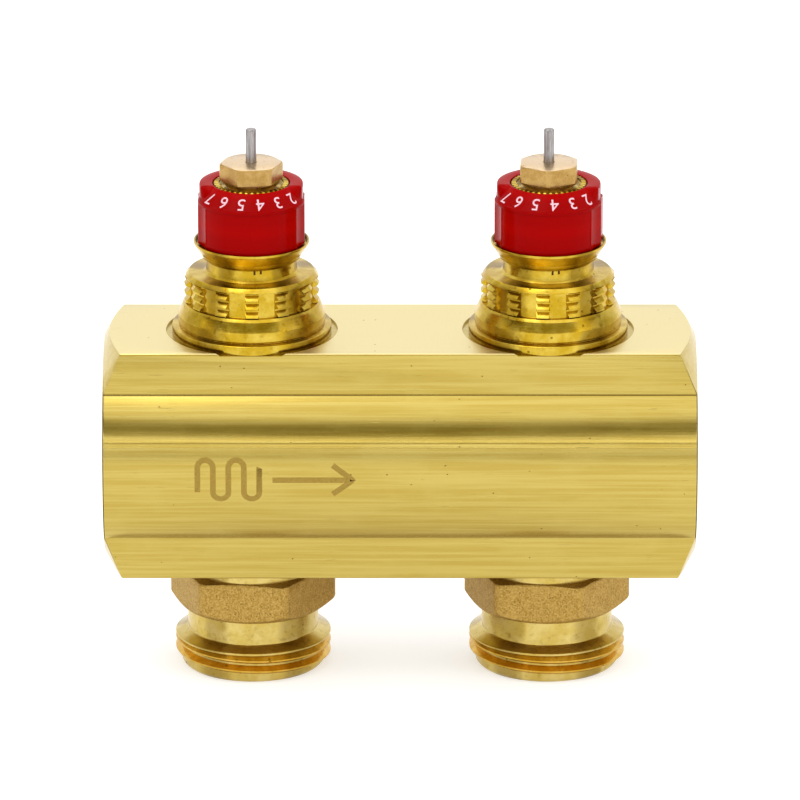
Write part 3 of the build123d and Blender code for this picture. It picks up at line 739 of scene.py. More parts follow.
class RingMesh:
    """A skin of four-sided faces drawn over rings with equal numbers of points."""

    def __init__(self, segments: int, lay: Lay, along: float = 0.0, turn: float = 0.0) -> None:
        """Start a skin.

        Args:
            segments: Points in each ring.
            lay: Whether the axis is upright, or level along X.
            along: Where an upright axis stands on X.
            turn: Compass angle of the first point, in degrees.
        """
        self.lay = lay
        self.along = along
        self.angles = np.radians(turn + 360.0 * np.arange(segments) / segments)
        self.rings: list[np.ndarray] = []

    def ring(self, radius: Number, height: Number) -> None:
        """Add a ring; radius and height are numbers, or one value for each point."""
        across = radius * np.cos(self.angles)
        other = radius * np.sin(self.angles)
        level = np.broadcast_to(np.asarray(height, float), self.angles.shape)
        if self.lay is Lay.UPRIGHT:
            points = (across + self.along, other, level + AXIS_HEIGHT)
        else:
            points = (level, across, other + AXIS_HEIGHT)
        self.rings.append(np.stack(points, axis=1))

    def outline(self, points: Iterable[tuple[float, float]]) -> None:
        """Add a round ring for each point of an outline."""
        for radius, height in points:
            self.ring(radius, height)

    def bmesh(self, closed: bool = True) -> bmesh.types.BMesh:
        """Draw the skin; closed joins the last ring to the first."""
        bm = bmesh.new()
        rows = [[bm.verts.new(point) for point in ring] for ring in self.rings]
        pairs = list(zip(rows, rows[1:]))
        if closed:
            pairs.append((rows[-1], rows[0]))
        for lower, upper in pairs:
            for i in range(len(lower)):
                j = (i + 1) % len(lower)
                bm.faces.new((lower[i], lower[j], upper[j], upper[i]))
        return bm

    def build(self, name: str, finish: Finish, closed: bool = True) -> bpy.types.Object:
        """Draw the skin and finish it as a piece."""
        return finish_object(name, self.bmesh(closed), finish)


def drum(x: float, radius: float, low: float, high: float) -> bpy.types.Object:
    """A plain upright cylinder that serves as a cutting tool."""
    rings = RingMesh(96, Lay.UPRIGHT, x)
    rings.outline([(0.0, low), (radius, low), (radius, high), (0.0, high)])
    return rings.build("tool", BAR_BRASS, closed=False)


def hexagon_radius(angles: np.ndarray, flats: float, corner_turn: float, worn: float) -> np.ndarray:
    """Radius of a hexagon's outline in each direction.

    Args:
        angles: Directions in radians.
        flats: Distance across the flats.
        corner_turn: Direction of one corner in degrees.
        worn: How much the corners are rounded off.

    Returns:
        The radii.
    """
    sector = math.radians(60)
    off_flat = (angles - math.radians(corner_turn)) % sector - sector / 2
    sharp = flats / 2 / np.cos(off_flat)
    limit = flats / 2 / math.cos(sector / 2) - worn
    return np.minimum(sharp, limit)


# --- Geometry Nodes ----------------------------------------------------------------------------

THREAD_STEPS = 96
THREAD_FOOT_HALF = 0.44
THREAD_CREST_HALF = 0.07
THREAD_SUNK = 0.08
THREAD_FADE = 3.0
COIL_STEPS = 48
WIRE_SIDES = 16


class GeometryRule:
    """A Geometry Nodes tree with named inputs, run once and turned into a plain mesh."""

    def __init__(self, name: str) -> None:
        """Start an empty tree with a geometry output."""
        self.tree = bpy.data.node_groups.new(name, "GeometryNodeTree")
        self.board = Board(self.tree)
        self.identifiers: dict[str, str] = {}
        self.tree.interface.new_socket("Geometry", in_out="OUTPUT", socket_type="NodeSocketGeometry")
        self._inputs = self.board.node("NodeGroupInput")

    def input(self, name: str, socket_type: str) -> Wire:
        """Add a named input and give its wire."""
        item = self.tree.interface.new_socket(name, in_out="INPUT", socket_type=socket_type)
        self.identifiers[name] = item.identifier
        return Wire(self.board, self._inputs.outputs[name])

    def end(self, shape: Wire) -> None:
        """Finish the tree with Realize Instances and Set Material."""
        material = self.input("Finish", "NodeSocketMaterial")
        real = self.board.node("GeometryNodeRealizeInstances", None, {0: shape})
        inputs = {"Geometry": Wire(self.board, real.outputs[0]), "Material": material}
        dressed = self.board.node("GeometryNodeSetMaterial", None, inputs)
        self.board.node("NodeGroupOutput", None, {0: Wire(self.board, dressed.outputs[0])})

    def run(self, name: str, finish: Finish, **values: Any) -> bpy.types.Object:
        """Run the tree.

        Args:
            name: The piece's name.
            finish: Its finish.
            values: The tree's inputs, named with _ for a space.

        Returns:
            A plain mesh object in metres, at the origin.
        """
        holder = bpy.data.objects.new(name, bpy.data.meshes.new(name))
        bpy.context.scene.collection.objects.link(holder)
        modifier = holder.modifiers.new("rule", "NODES")
        modifier.node_group = self.tree
        modifier[self.identifiers["Finish"]] = finish.material()
        for key, value in values.items():
            modifier[self.identifiers[key.replace("_", " ")]] = value
        graph = bpy.context.evaluated_depsgraph_get()
        mesh = bpy.data.meshes.new_from_object(holder.evaluated_get(graph))
        bpy.data.objects.remove(holder)
        bm = bmesh.new()
        bm.from_mesh(mesh)
        bpy.data.meshes.remove(mesh)
        return finish_object(name, bm, finish)


def radial_row_rule() -> GeometryRule:
    """Make the tree that stands copies of one piece in a circle about an upright axis.

    Returns:
        A rule with the inputs Model, Count, First Turn, Centre and Finish.
    """
    rule = GeometryRule("radial_row")
    board = rule.board
    model = rule.input("Model", "NodeSocketObject")
    count = rule.input("Count", "NodeSocketInt")
    first = rule.input("First Turn", "NodeSocketFloat")
    centre = rule.input("Centre", "NodeSocketVector")
    info = board.node("GeometryNodeObjectInfo", None, {0: model})
    points = board.node("GeometryNodePoints", None, {"Count": count, "Position": centre})
    index = Wire(board, board.node("GeometryNodeInputIndex").outputs[0])
    turn = board.combine(0.0, 0.0, first + index * math.tau / count)
    inputs = {
        "Points": Wire(board, points.outputs[0]),
        "Instance": Wire(board, info.outputs["Geometry"]),
        "Rotation": turn,
    }
    copies = board.node("GeometryNodeInstanceOnPoints", None, inputs)
    rule.end(Wire(board, copies.outputs[0]))
    return rule


def helix_curve(board: Board, radius: Wire, turns: Wire, height: Wire, steps: int) -> Wire:
    """Draw a helix of even radius.

    Args:
        board: The geometry tree.
        radius: Its radius.
        turns: Its number of turns.
        height: Its whole height.
        steps: Points in each turn.

    Returns:
        The curve.
    """
    inputs = {
        "Resolution": steps,
        "Rotations": turns,
        "Start Radius": radius,
        "End Radius": radius,
        "Height": height,
    }
    return Wire(board, board.node("GeometryNodeCurveSpiral", None, inputs).outputs[0])


def helix_ridge_rule() -> GeometryRule:
    """Make the tree that sweeps a thread's ridge along a helix that fades in and out.

    Returns:
        A rule with the inputs Root Radius, Pitch, Turns, Reach, Centre, Tilt and Finish.
    """
    rule = GeometryRule("helix_ridge")
    board = rule.board
    radius = rule.input("Root Radius", "NodeSocketFloat")
    pitch = rule.input("Pitch", "NodeSocketFloat")
    turns = rule.input("Turns", "NodeSocketFloat")
    reach = rule.input("Reach", "NodeSocketFloat")
    centre = rule.input("Centre", "NodeSocketVector")
    tilt = rule.input("Tilt", "NodeSocketVector")
    spiral = helix_curve(board, radius, turns, pitch * turns, THREAD_STEPS)
    level = board.node("GeometryNodeSetCurveNormal", {"mode": "Z_UP"}, {0: spiral})
    profile = board.node(
        "GeometryNodeCurvePrimitiveQuadrilateral",
        {"mode": "POINTS"},
        {
            "Point 1": board.combine(reach * THREAD_SUNK, pitch * -THREAD_FOOT_HALF, 0.0),
            "Point 2": board.combine(reach * -1.0, pitch * -THREAD_CREST_HALF, 0.0),
            "Point 3": board.combine(reach * -1.0, pitch * THREAD_CREST_HALF, 0.0),
            "Point 4": board.combine(reach * THREAD_SUNK, pitch * THREAD_FOOT_HALF, 0.0),
        },
    )
    along = Wire(board, board.node("GeometryNodeSplineParameter").outputs["Factor"])
    fade_in = (along * turns * THREAD_FADE).clamped()
    fade_out = ((1.0 - along) * turns * THREAD_FADE).clamped()
    inputs = {
        "Curve": Wire(board, level.outputs[0]),
        "Profile Curve": Wire(board, profile.outputs[0]),
        "Scale": fade_in * fade_out * 0.98 + 0.02,
        "Fill Caps": True,
    }
    ridge = board.node("GeometryNodeCurveToMesh", None, inputs)
    inputs = {"Geometry": Wire(board, ridge.outputs[0]), "Translation": centre, "Rotation": tilt}
    moved = board.node("GeometryNodeTransform", None, inputs)
    rule.end(Wire(board, moved.outputs[0]))
    return rule


def wire_coil_rule() -> GeometryRule:
    """Make the tree that sweeps a round wire along a helix.

    Returns:
        A rule with the inputs Coil Radius, Wire Radius, Turns, Height, Centre and Finish.
    """
    rule = GeometryRule("wire_coil")
    board = rule.board
    radius = rule.input("Coil Radius", "NodeSocketFloat")
    wire = rule.input("Wire Radius", "NodeSocketFloat")
    turns = rule.input("Turns", "NodeSocketFloat")
    height = rule.input("Height", "NodeSocketFloat")
    centre = rule.input("Centre", "NodeSocketVector")
    inputs = {"Resolution": WIRE_SIDES, "Radius": wire}
    circle = board.node("GeometryNodeCurvePrimitiveCircle", None, inputs)
    inputs = {
        "Curve": helix_curve(board, radius, turns, height, COIL_STEPS),
        "Profile Curve": Wire(board, circle.outputs[0]),
        "Fill Caps": True,
    }
    coil = board.node("GeometryNodeCurveToMesh", None, inputs)
    inputs = {"Geometry": Wire(board, coil.outputs[0]), "Translation": centre}
    moved = board.node("GeometryNodeTransform", None, inputs)
    rule.end(Wire(board, moved.outputs[0]))
    return rule


@dataclass
class Rules:
    """The Geometry Nodes trees that the sub-assemblies share."""

    radial_row: GeometryRule = field(default_factory=radial_row_rule)
    helix_ridge: GeometryRule = field(default_factory=helix_ridge_rule)
    wire_coil: GeometryRule = field(default_factory=wire_coil_rule)

    def stand_round(
        self, name: str, model: bpy.types.Object, side: Side, count: int, turn: float, finish: Finish
    ) -> bpy.types.Object:
        """Stand copies of a model round a valve's axis.

        Args:
            name: The new piece's name.
            model: One copy in millimetres, drawn for an axis at the origin; it is removed.
            side: Which valve.
            count: Number of copies.
            turn: Turn of the first copy, in degrees.
            finish: The piece's finish.

        Returns:
            The piece.
        """
        centre = (valve_x(side), 0.0, AXIS_HEIGHT)
        values = {"Model": model, "Count": count, "First Turn": math.radians(turn), "Centre": centre}
        made = self.radial_row.run(name, finish, **values)
        bpy.data.objects.remove(model)
        return made


def model_from_rows(name: str, rows: Sequence[Sequence[Sequence[float]]]) -> bpy.types.Object:
    """Make an unfinished model, in millimetres, from rows of points with both ends capped."""
    bm = bmesh.new()
    grid = [[bm.verts.new(point) for point in row] for row in rows]
    for lower, upper in zip(grid, grid[1:]):
        for i in range(len(lower)):
            j = (i + 1) % len(lower)
            bm.faces.new((lower[i], lower[j], upper[j], upper[i]))
    bm.faces.new(grid[0])
    bm.faces.new(reversed(grid[-1]))
    mesh = bpy.data.meshes.new(name)
    bm.to_mesh(mesh)
    bm.free()
    made = bpy.data.objects.new(name, mesh)
    bpy.context.scene.collection.objects.link(made)
    return made


# --- The bar -----------------------------------------------------------------------------------


@dataclass
class ManifoldBar:
    """The extruded bar with its pads, turned ends, threaded ports and bosses."""

    half_length: float = 50.0
    body_radius: float = 18.57
    pad_height: float = 20.0
    pad_half_width: float = 13.5
    pad_edge_round: float = 0.35
    foot_round: float = 0.8
    face_radius: float = 18.3
    cone_run: float = 0.512
    bore_radius: float = 14.0
    port_major: float = 16.62
    port_minor: float = 15.15
    port_pitch: float = 2.309
    port_mouth_chamfer: float = 1.5
    port_bottom: float = 35.6
    cone_end: float = 34.45
    boss_radius: float = 10.48
    spot_face_radius: float = 14.5
    spot_face_depth: float = 0.4

    def build(self) -> bpy.types.Object:
        """Draw the bar and cut its bosses and spot faces."""
        section = self._section()
        rings = RingMesh(len(section), Lay.LEVEL)
        rings.angles = np.arctan2(section[:, 1], section[:, 0])
        reach = np.hypot(section[:, 0], section[:, 1])
        end = self.half_length - np.maximum(0.0, reach - self.face_radius) * self.cone_run
        for hand in (-1, 1):
            steps = [
                (reach, end - 0.3),
                (reach - 0.08, end - 0.08),
                (reach - 0.3, end + 0.06),
                (self.face_radius + 0.15, self.half_length - 0.08),
                (self.face_radius - 0.2, self.half_length),
                (self.port_minor + self.port_mouth_chamfer + 0.1, self.half_length),
                (self.port_minor + self.port_mouth_chamfer, self.half_length - 0.06),
            ]
            steps += self._thread(rings.angles)
            steps.append((self.bore_radius, self.cone_end))
            for radius, along in steps if hand > 0 else reversed(steps):
                rings.ring(radius, hand * along)
        # The right end's rings run from the skin in to the bore; the left end's run out again.
        bar = rings.build("bar_body", BAR_BRASS, closed=True)
        tools = []
        for side in Side:
            x = valve_x(side)
            tools.append(drum(x, self.boss_radius, -self.pad_height - 1, self.pad_height + 1))
            floor = self.pad_height - self.spot_face_depth
            tools.append(drum(x, self.spot_face_radius, floor, self.pad_height + 1))
        cut(bar, tools)
        return bar

    def _section(self) -> np.ndarray:
        """Points (y, z) of the whole cross section, anticlockwise."""
        foot_y = self.pad_half_width + self.foot_round
        foot_z = math.sqrt((self.body_radius + self.foot_round) ** 2 - foot_y**2)
        start = math.atan2(foot_z, foot_y)
        quarter = [
            (self.body_radius * math.cos(a), self.body_radius * math.sin(a))
            for a in np.linspace(0.0, start, 24)
        ]
        for a in np.linspace(math.pi + start, math.pi, 6)[1:]:
            quarter.append((foot_y + self.foot_round * math.cos(a), foot_z + self.foot_round * math.sin(a)))
        inset = self.pad_edge_round
        for a in np.linspace(0.0, math.pi / 2, 5):
            y = self.pad_half_width - inset + inset * math.cos(a)
            quarter.append((y, self.pad_height - inset + inset * math.sin(a)))
        for y in np.linspace(self.pad_half_width - inset, 0.0, 6)[1:]:
            quarter.append((float(y), self.pad_height))
        half = quarter + [(-y, z) for y, z in reversed(quarter[:-1])]
        whole = half + [(y, -z) for y, z in reversed(half[1:-1])]
        return np.array(whole)

    def _thread(self, angles: np.ndarray) -> list[tuple[Number, Number]]:
        """Rings of one port's helical thread, from the mouth inwards."""
        rings: list[tuple[Number, Number]] = []
        mouth = self.half_length - self.port_mouth_chamfer
        run = mouth - self.port_bottom
        depth = self.port_major - self.port_minor
        count = int(run / self.port_pitch * 12)
        for step in range(count + 1):
            along = mouth - run * step / count
            phase = (along / self.port_pitch + angles / math.tau) % 1.0
            groove = np.clip(1.0 - np.abs(phase - 0.5) * 2.4, 0.0, 0.86) / 0.86
            fade = min(1.0, (mouth - along) / 0.6, (along - self.port_bottom) / 1.5)
            rings.append((self.port_minor + depth * groove * max(0.0, fade), along))
        return rings

    def dress(self) -> None:
        """Build the bar and hand it over."""
        hand_over(self.build(), "bar", BAR_BRASS, "manifold_bar")


@dataclass
class FlowMark:
    """The etched mark on the front: a heating loop and a flow arrow."""

    body_radius: float = 18.57
    lift: float = 0.02
    left: float = -34.0
    middle_height: float = -0.6
    stroke: float = 0.95
    loop_width: float = 2.6
    loop_height: float = 7.0
    loops: int = 4
    arrow_length: float = 13.5
    arrow_head: float = 3.4
    arrow_spread: float = 2.6
    arrow_gap: float = 2.2

    def dress(self) -> None:
        """Build the mark and hand it over."""
        bm = bmesh.new()
        self._ribbon(bm, self._loop_path())
        x = self.left + self.loops * self.loop_width + self.arrow_gap
        tip = x + self.arrow_length
        z = self.middle_height
        self._ribbon(bm, [(x, z), (tip - 0.4, z)])
        back, spread = tip - self.arrow_head, self.arrow_spread
        self._ribbon(bm, [(back, z + spread), (tip, z), (back, z - spread)])
        for vertex in bm.verts:
            self._wrap(vertex)
        mark = finish_object("flow_mark", bm, ETCHED_BRASS)
        hand_over(mark, "bar", ETCHED_BRASS)

    def _loop_path(self) -> list[tuple[float, float]]:
        """Centre line of the heating loop: upright runs joined by half circles."""
        path: list[tuple[float, float]] = []
        bend = self.loop_width / 2
        run = self.loop_height / 2 - bend
        for turn in range(self.loops):
            x = self.left + turn * self.loop_width
            up = 1 if turn % 2 == 0 else -1
            path.append((x, self.middle_height - up * run))
            path.append((x, self.middle_height + up * run))
            for a in np.linspace(math.pi, 0.0, 12)[1:-1]:
                bent = (x + bend + bend * math.cos(a), self.middle_height + up * (run + bend * math.sin(a)))
                path.append((float(bent[0]), float(bent[1])))
        x = self.left + self.loops * self.loop_width
        path.append((x, self.middle_height + run))
        path.append((x, self.middle_height - run))
        return path

    def _ribbon(self, bm: bmesh.types.BMesh, path: Sequence[tuple[float, float]]) -> None:
        """Draw a thin closed ribbon along a flat path."""
        points = self._resample(path)
        half = self.stroke / 2
        rows = []
        for index, here in enumerate(points):
            way = points[min(index + 1, len(points) - 1)] - points[max(index - 1, 0)]
            aside = np.array((-way[1], way[0])) / np.linalg.norm(way) * half
            corners = [(here + aside, self.lift), (here - aside, self.lift)]
            corners += [(here - aside, -self.lift), (here + aside, -self.lift)]
            rows.append([bm.verts.new((p[0], lift, p[1])) for p, lift in corners])
        for lower, upper in zip(rows, rows[1:]):
            for i in range(4):
                bm.faces.new((lower[i], lower[(i + 1) % 4], upper[(i + 1) % 4], upper[i]))
        bm.faces.new(rows[0])
        bm.faces.new(reversed(rows[-1]))

    @staticmethod
    def _resample(path: Sequence[tuple[float, float]], step: float = 0.25) -> list[np.ndarray]:
        """Give points at even steps along a path."""
        points = [np.array(path[0])]
        for start, end in zip(path, path[1:]):
            start, end = np.array(start), np.array(end)
            count = max(1, round(float(np.linalg.norm(end - start)) / step))
            points += [start + (end - start) * (i + 1) / count for i in range(count)]
        return points

    def _wrap(self, vertex: bmesh.types.BMVert) -> None:
        """Bend a flat point onto the front of the round body."""
        x, lift, arc = vertex.co
        angle = arc / self.body_radius
        reach = self.body_radius + lift
        vertex.co = (x, -reach * math.cos(angle), AXIS_HEIGHT + reach * math.sin(angle))


# --- The outlet nipple -------------------------------------------------------------------------


@dataclass
class OutletNipple:
    """One outlet: shank in the bar, cast hexagon, turned neck, thread and cone mouth."""

    side: Side
    corner_turn: float
    rules: Rules
    hex_flats: float = 25.0
    hex_top: float = -21.6
    hex_bottom: float = -28.6
    hex_worn: float = 0.35
    hex_chamfer: float = 0.62
    shoulder_radius: float = 12.0
    neck_radius: float = 11.1
    neck_bottom: float = -32.8
    crest_radius: float = 13.2
    root_radius: float = 12.1
    thread_top: float = -33.75
    pitch: float = 1.814
    bore_radius: float = 7.0
    mouth_radius: float = 9.15
    end: float = -39.2
    top: float = -12.6
    spigot_radius: float = 9.5
    spigot_length: float = 1.0
    shank_radius: float = 10.4
    shank_bottom: float = -18.6
    undercut_radius: float = 9.2
    pad: float = -20.0
    sink: float = 0.3
    cone_depth: float = 8.0
    thread_turns: float = 2.35
    thread_gap: float = 0.15

    def dress(self) -> None:
        """Build the nipple's pieces and hand them over."""
        label = self.side.value
        hand_over(self._turned(), "bar", NECK_BRASS, f"outlet_nipple_{label}")
        hand_over(self._hexagon(), "bar", CAST_BRASS)
        hand_over(self._thread(), "bar", THREAD_BRASS)

    def _turned(self) -> bpy.types.Object:
        """The turned body, with the thread's root as a plain cylinder."""
        crest, root, start = self.crest_radius, self.root_radius, self.thread_top
        corners = [
            (self.bore_radius, self.top, 0.2),
            (self.spigot_radius, self.top, 0.2),
            (self.spigot_radius, self.top - self.spigot_length, 0.0),
            (self.shank_radius, self.top - self.spigot_length - 0.6, 0.2),
            (self.shank_radius, self.shank_bottom, 0.2),
            (self.undercut_radius, self.shank_bottom - 0.2, 0.0),
            (self.undercut_radius, self.pad, 0.0),
            (self.shoulder_radius, self.pad, 0.1),
            (self.shoulder_radius, self.hex_top - self.sink, 0.0),
            (self.neck_radius, self.hex_top - self.sink, 0.0),
            (self.neck_radius, self.neck_bottom, 0.25),
            (crest, start, 0.12),
            (crest, start - 0.3, 0.12),
            (root, start - 0.95, 0.1),
            (root, self.end + 0.5, 0.15),
            (root - 0.4, self.end, 0.1),
            (self.mouth_radius + 0.3, self.end, 0.1),
            (self.mouth_radius - 0.1, self.end + 0.35, 0.1),
            (self.bore_radius, self.end + self.cone_depth, 0.3),
        ]
        rings = RingMesh(144, Lay.UPRIGHT, valve_x(self.side))
        rings.outline(rounded(corners))
        return rings.build(f"nipple_body_{self.side.value}", NECK_BRASS)

    def _hexagon(self) -> bpy.types.Object:
        """The cast hexagon, its corners knocked back by a chamfer above and below."""
        turn = FRONT + self.corner_turn
        rings = RingMesh(216, Lay.UPRIGHT, valve_x(self.side), turn)
        flats = hexagon_radius(rings.angles, self.hex_flats, turn, self.hex_worn)
        start = self.hex_flats / 2 - 0.35
        drop = (flats - start) * self.hex_chamfer
        height = self.hex_top - self.hex_bottom
        rings.ring(self.neck_radius - self.sink, self.hex_top)
        rings.ring(start, self.hex_top)
        rings.ring(flats - 0.12, self.hex_top - drop * 0.3 + 0.02)
        rings.ring(flats, self.hex_top - drop * 0.3 - 0.2)
        for part in (0.35, 0.65):
            rings.ring(flats, self.hex_top - height * part)
        rings.ring(flats, self.hex_bottom + drop + 0.2)
        rings.ring(flats - 0.12, self.hex_bottom + drop - 0.02)
        rings.ring(start, self.hex_bottom)
        rings.ring(self.neck_radius - self.sink, self.hex_bottom)
        return rings.build(f"nipple_hexagon_{self.side.value}", CAST_BRASS)

    def _thread(self) -> bpy.types.Object:
        """The thread's ridge, wound down from the bevel."""
        foot = self.thread_top - self.pitch * self.thread_turns - self.thread_gap
        values = {
            "Root Radius": self.root_radius,
            "Pitch": self.pitch,
            "Turns": self.thread_turns,
            "Reach": self.crest_radius - self.root_radius,
            "Centre": (valve_x(self.side), 0.0, AXIS_HEIGHT + foot),
            "Tilt": (0.0, 0.0, math.radians(self.corner_turn * 7)),
        }
        return self.rules.helix_ridge.run(f"nipple_thread_{self.side.value}", THREAD_BRASS, **values)


# --- The valve insert --------------------------------------------------------------------------


@dataclass
class ValveInsert:
    """One fixed brass insert: cage, shank, flanges, gripping collar, neck, cup and stem."""

    side: Side
    tooth_turn: float
    rules: Rules
    spot_face: float = 19.6
    base_radius: float = 13.42
    base_top: float = 21.3
    flange_radius: float = 12.4
    flange_top: float = 23.2
    collar_radius: float = 11.4
    slot_radius: float = 10.55
    collar_low: float = 25.3
    collar_high: float = 29.7
    collar_top: float = 30.5
    neck_radius: float = 7.6
    cup_low: float = 33.2
    cup_radius: float = 9.75
    cup_high: float = 35.9
    cup_floor: float = 35.1
    stem_radius: float = 7.0
    stem_top: float = 42.0
    bore_radius: float = 5.95
    cage_radius: float = 8.8
    cage_bore: float = 7.6
    cage_low: float = -10.4
    cage_high: float = 13.0
    teeth: int = 13
    ridges: int = 3
    ridge_pitch: float = 1.46
    ridge_depth: float = 0.8
    shank_radius: float = 10.4
    shank_top: float = 18.0
    undercut_radius: float = 9.2
    cage_step: float = 7.7
    window_half_width: float = 3.5
    window_low: float = -8.4
    window_high: float = 6.0
    window_reach: float = 12.0
    tooth_foot_half: float = 1.42
    tooth_crest_half: float = 1.02
    mark_turn: float = 8.5
    mark_half_width: float = 1.3
    mark_lift: float = 0.03
    mark_strokes: tuple[tuple[float, float, float], ...] = ((-4.0, 32.0, 32.8), (4.0, 32.1, 32.8))

    def dress(self) -> None:
        """Build the insert's pieces and hand them over."""
        label = self.side.value
        hand_over(self._body(), "bar", TURNED_BRASS, f"valve_body_{label}")
        tooth = self._tooth()
        name = f"collar_teeth_{label}"
        teeth = self.rules.stand_round(name, tooth, self.side, self.teeth, self.tooth_turn, TURNED_BRASS)
        hand_over(teeth, "bar", TURNED_BRASS)
        hand_over(self._index_mark(), "bar", STAMP_DARK)

    def _index_mark(self) -> bpy.types.Object:
        """Two short strokes stamped on the neck, against which the dial is read."""
        bm = bmesh.new()
        reach = self.neck_radius + self.mark_lift
        for aside, low, high in self.mark_strokes:
            start = math.radians(FRONT + self.mark_turn + aside)
            half = math.radians(self.mark_half_width)
            corners = []
            outline = [(-half, low), (half, low), (half, high), (-half, high)]
            for radius in (reach - 2 * self.mark_lift, reach):
                for turn, height in outline:
                    x = valve_x(self.side) + radius * math.cos(start + turn)
                    y = radius * math.sin(start + turn)
                    corners.append(bm.verts.new((x, y, AXIS_HEIGHT + height)))
            bm.faces.new(corners[:4])
            bm.faces.new(corners[4:])
            for i in range(4):
                j = (i + 1) % 4
                bm.faces.new((corners[i], corners[j], corners[j + 4], corners[i + 4]))
        return finish_object(f"index_mark_{self.side.value}", bm, STAMP_DARK)

    def _body(self) -> bpy.types.Object:
        """The turned insert with its cage windows cut."""
        slot = self.slot_radius
        corners = [
            (self.cage_bore, self.cage_low, 0.1),
            (self.cage_radius, self.cage_low, 0.2),
            (self.cage_radius, self.cage_high, 0.2),
            (self.shank_radius, self.cage_high + 0.6, 0.1),
            (self.shank_radius, self.shank_top, 0.1),
            (self.undercut_radius, self.shank_top + 0.2, 0.1),
            (self.undercut_radius, self.spot_face, 0.0),
            (self.base_radius, self.spot_face, 0.1),
            (self.base_radius, self.base_top - 0.1, 0.25),
            (self.flange_radius - 0.25, self.base_top, 0.05),
            (self.flange_radius, self.base_top + 0.25, 0.2),
            (self.flange_radius, self.flange_top, 0.25),
            (11.65, self.collar_low - 0.45, 0.4),
            (11.3, self.collar_low, 0.08),
            (slot, self.collar_low + 0.06, 0.1),
            (slot, self.collar_high - 0.06, 0.1),
            (self.collar_radius - 0.15, self.collar_high, 0.1),
            (self.collar_radius - 0.85, self.collar_top, 0.2),
            (self.neck_radius, self.collar_top, 1.5),
            (self.neck_radius, self.cup_low - 0.25, 0.5),
            (self.neck_radius + 0.75, self.cup_low, 0.12),
            (self.neck_radius + 0.95, self.cup_low + 0.55, 0.2),
            (self.cup_radius, self.cup_high - 0.35, 0.2),
            (self.cup_radius, self.cup_high, 0.08),
            (self.cup_radius - 0.3, self.cup_high, 0.08),
            (self.cup_radius - 0.35, self.cup_floor, 0.1),
            (self.stem_radius, self.cup_floor, 0.1),
            (self.stem_radius, self.stem_top, 0.2),
            (self.bore_radius, self.stem_top, 0.1),
            (self.bore_radius, self.cage_step, 0.0),
            (self.cage_bore, self.cage_step, 0.0),
        ]
        rings = RingMesh(156, Lay.UPRIGHT, valve_x(self.side), FRONT + self.tooth_turn)
        rings.outline(rounded(corners, steps=3))
        body = rings.build(f"insert_body_{self.side.value}", TURNED_BRASS)
        cut(body, [self._window(45), self._window(-45)])
        return body

    def _window(self, turn: float) -> bpy.types.Object:
        """A square bar that cuts two opposite windows through the cage."""
        half, low, high = self.window_half_width, self.window_low, self.window_high
        reach = self.window_reach
        c, s = math.cos(math.radians(turn)), math.sin(math.radians(turn))
        corners = [(-half, low), (half, low), (half, high), (-half, high)]
        rows = [
            [
                (valve_x(self.side) + c * out - s * aside, s * out + c * aside, AXIS_HEIGHT + z)
                for aside, z in corners
            ]
            for out in (-reach, reach)
        ]
        tool = model_from_rows("tool", rows)
        bm = bmesh.new()
        bm.from_mesh(tool.data)
        bpy.data.objects.remove(tool)
        return finish_object("tool", bm, TURNED_BRASS)

    def _tooth(self) -> bpy.types.Object:
        """One ridged tooth of the collar, drawn at the front of an axis at the origin."""
        rows = []
        root_half, crest_half = self.tooth_foot_half, self.tooth_crest_half
        heights = [(self.collar_low, 0.25)]
        for turn in range(self.ridges):
            start = self.collar_low + 0.08 + turn * self.ridge_pitch
            heights.append((start + self.ridge_pitch * 0.1, 1.0))
            heights.append((start + self.ridge_pitch * 0.24, 1.0))
            heights.append((start + self.ridge_pitch * 0.74, 0.1))
            heights.append((start + self.ridge_pitch * 0.9, 0.1))
        heights.append((self.collar_high - 0.02, 0.9))
        base = self.slot_radius - 0.25
        for height, rise in heights:
            reach = self.collar_radius - self.ridge_depth * (1.0 - rise)
            half = root_half + (crest_half - root_half) * (reach - base) / (self.collar_radius - base)
            inner = [(root_half * 0.9, base), (-root_half * 0.9, base)]
            outer = [(-half, reach), (-half * 0.5, reach), (half * 0.5, reach), (half, reach)]
            row = []
            for aside, radius in inner + outer:
                angle = math.radians(FRONT) + aside / self.collar_radius
                row.append((radius * math.cos(angle), radius * math.sin(angle), height))
            rows.append(row)
        return model_from_rows("tooth", rows)


# --- The presetting dial and its driver --------------------------------------------------------


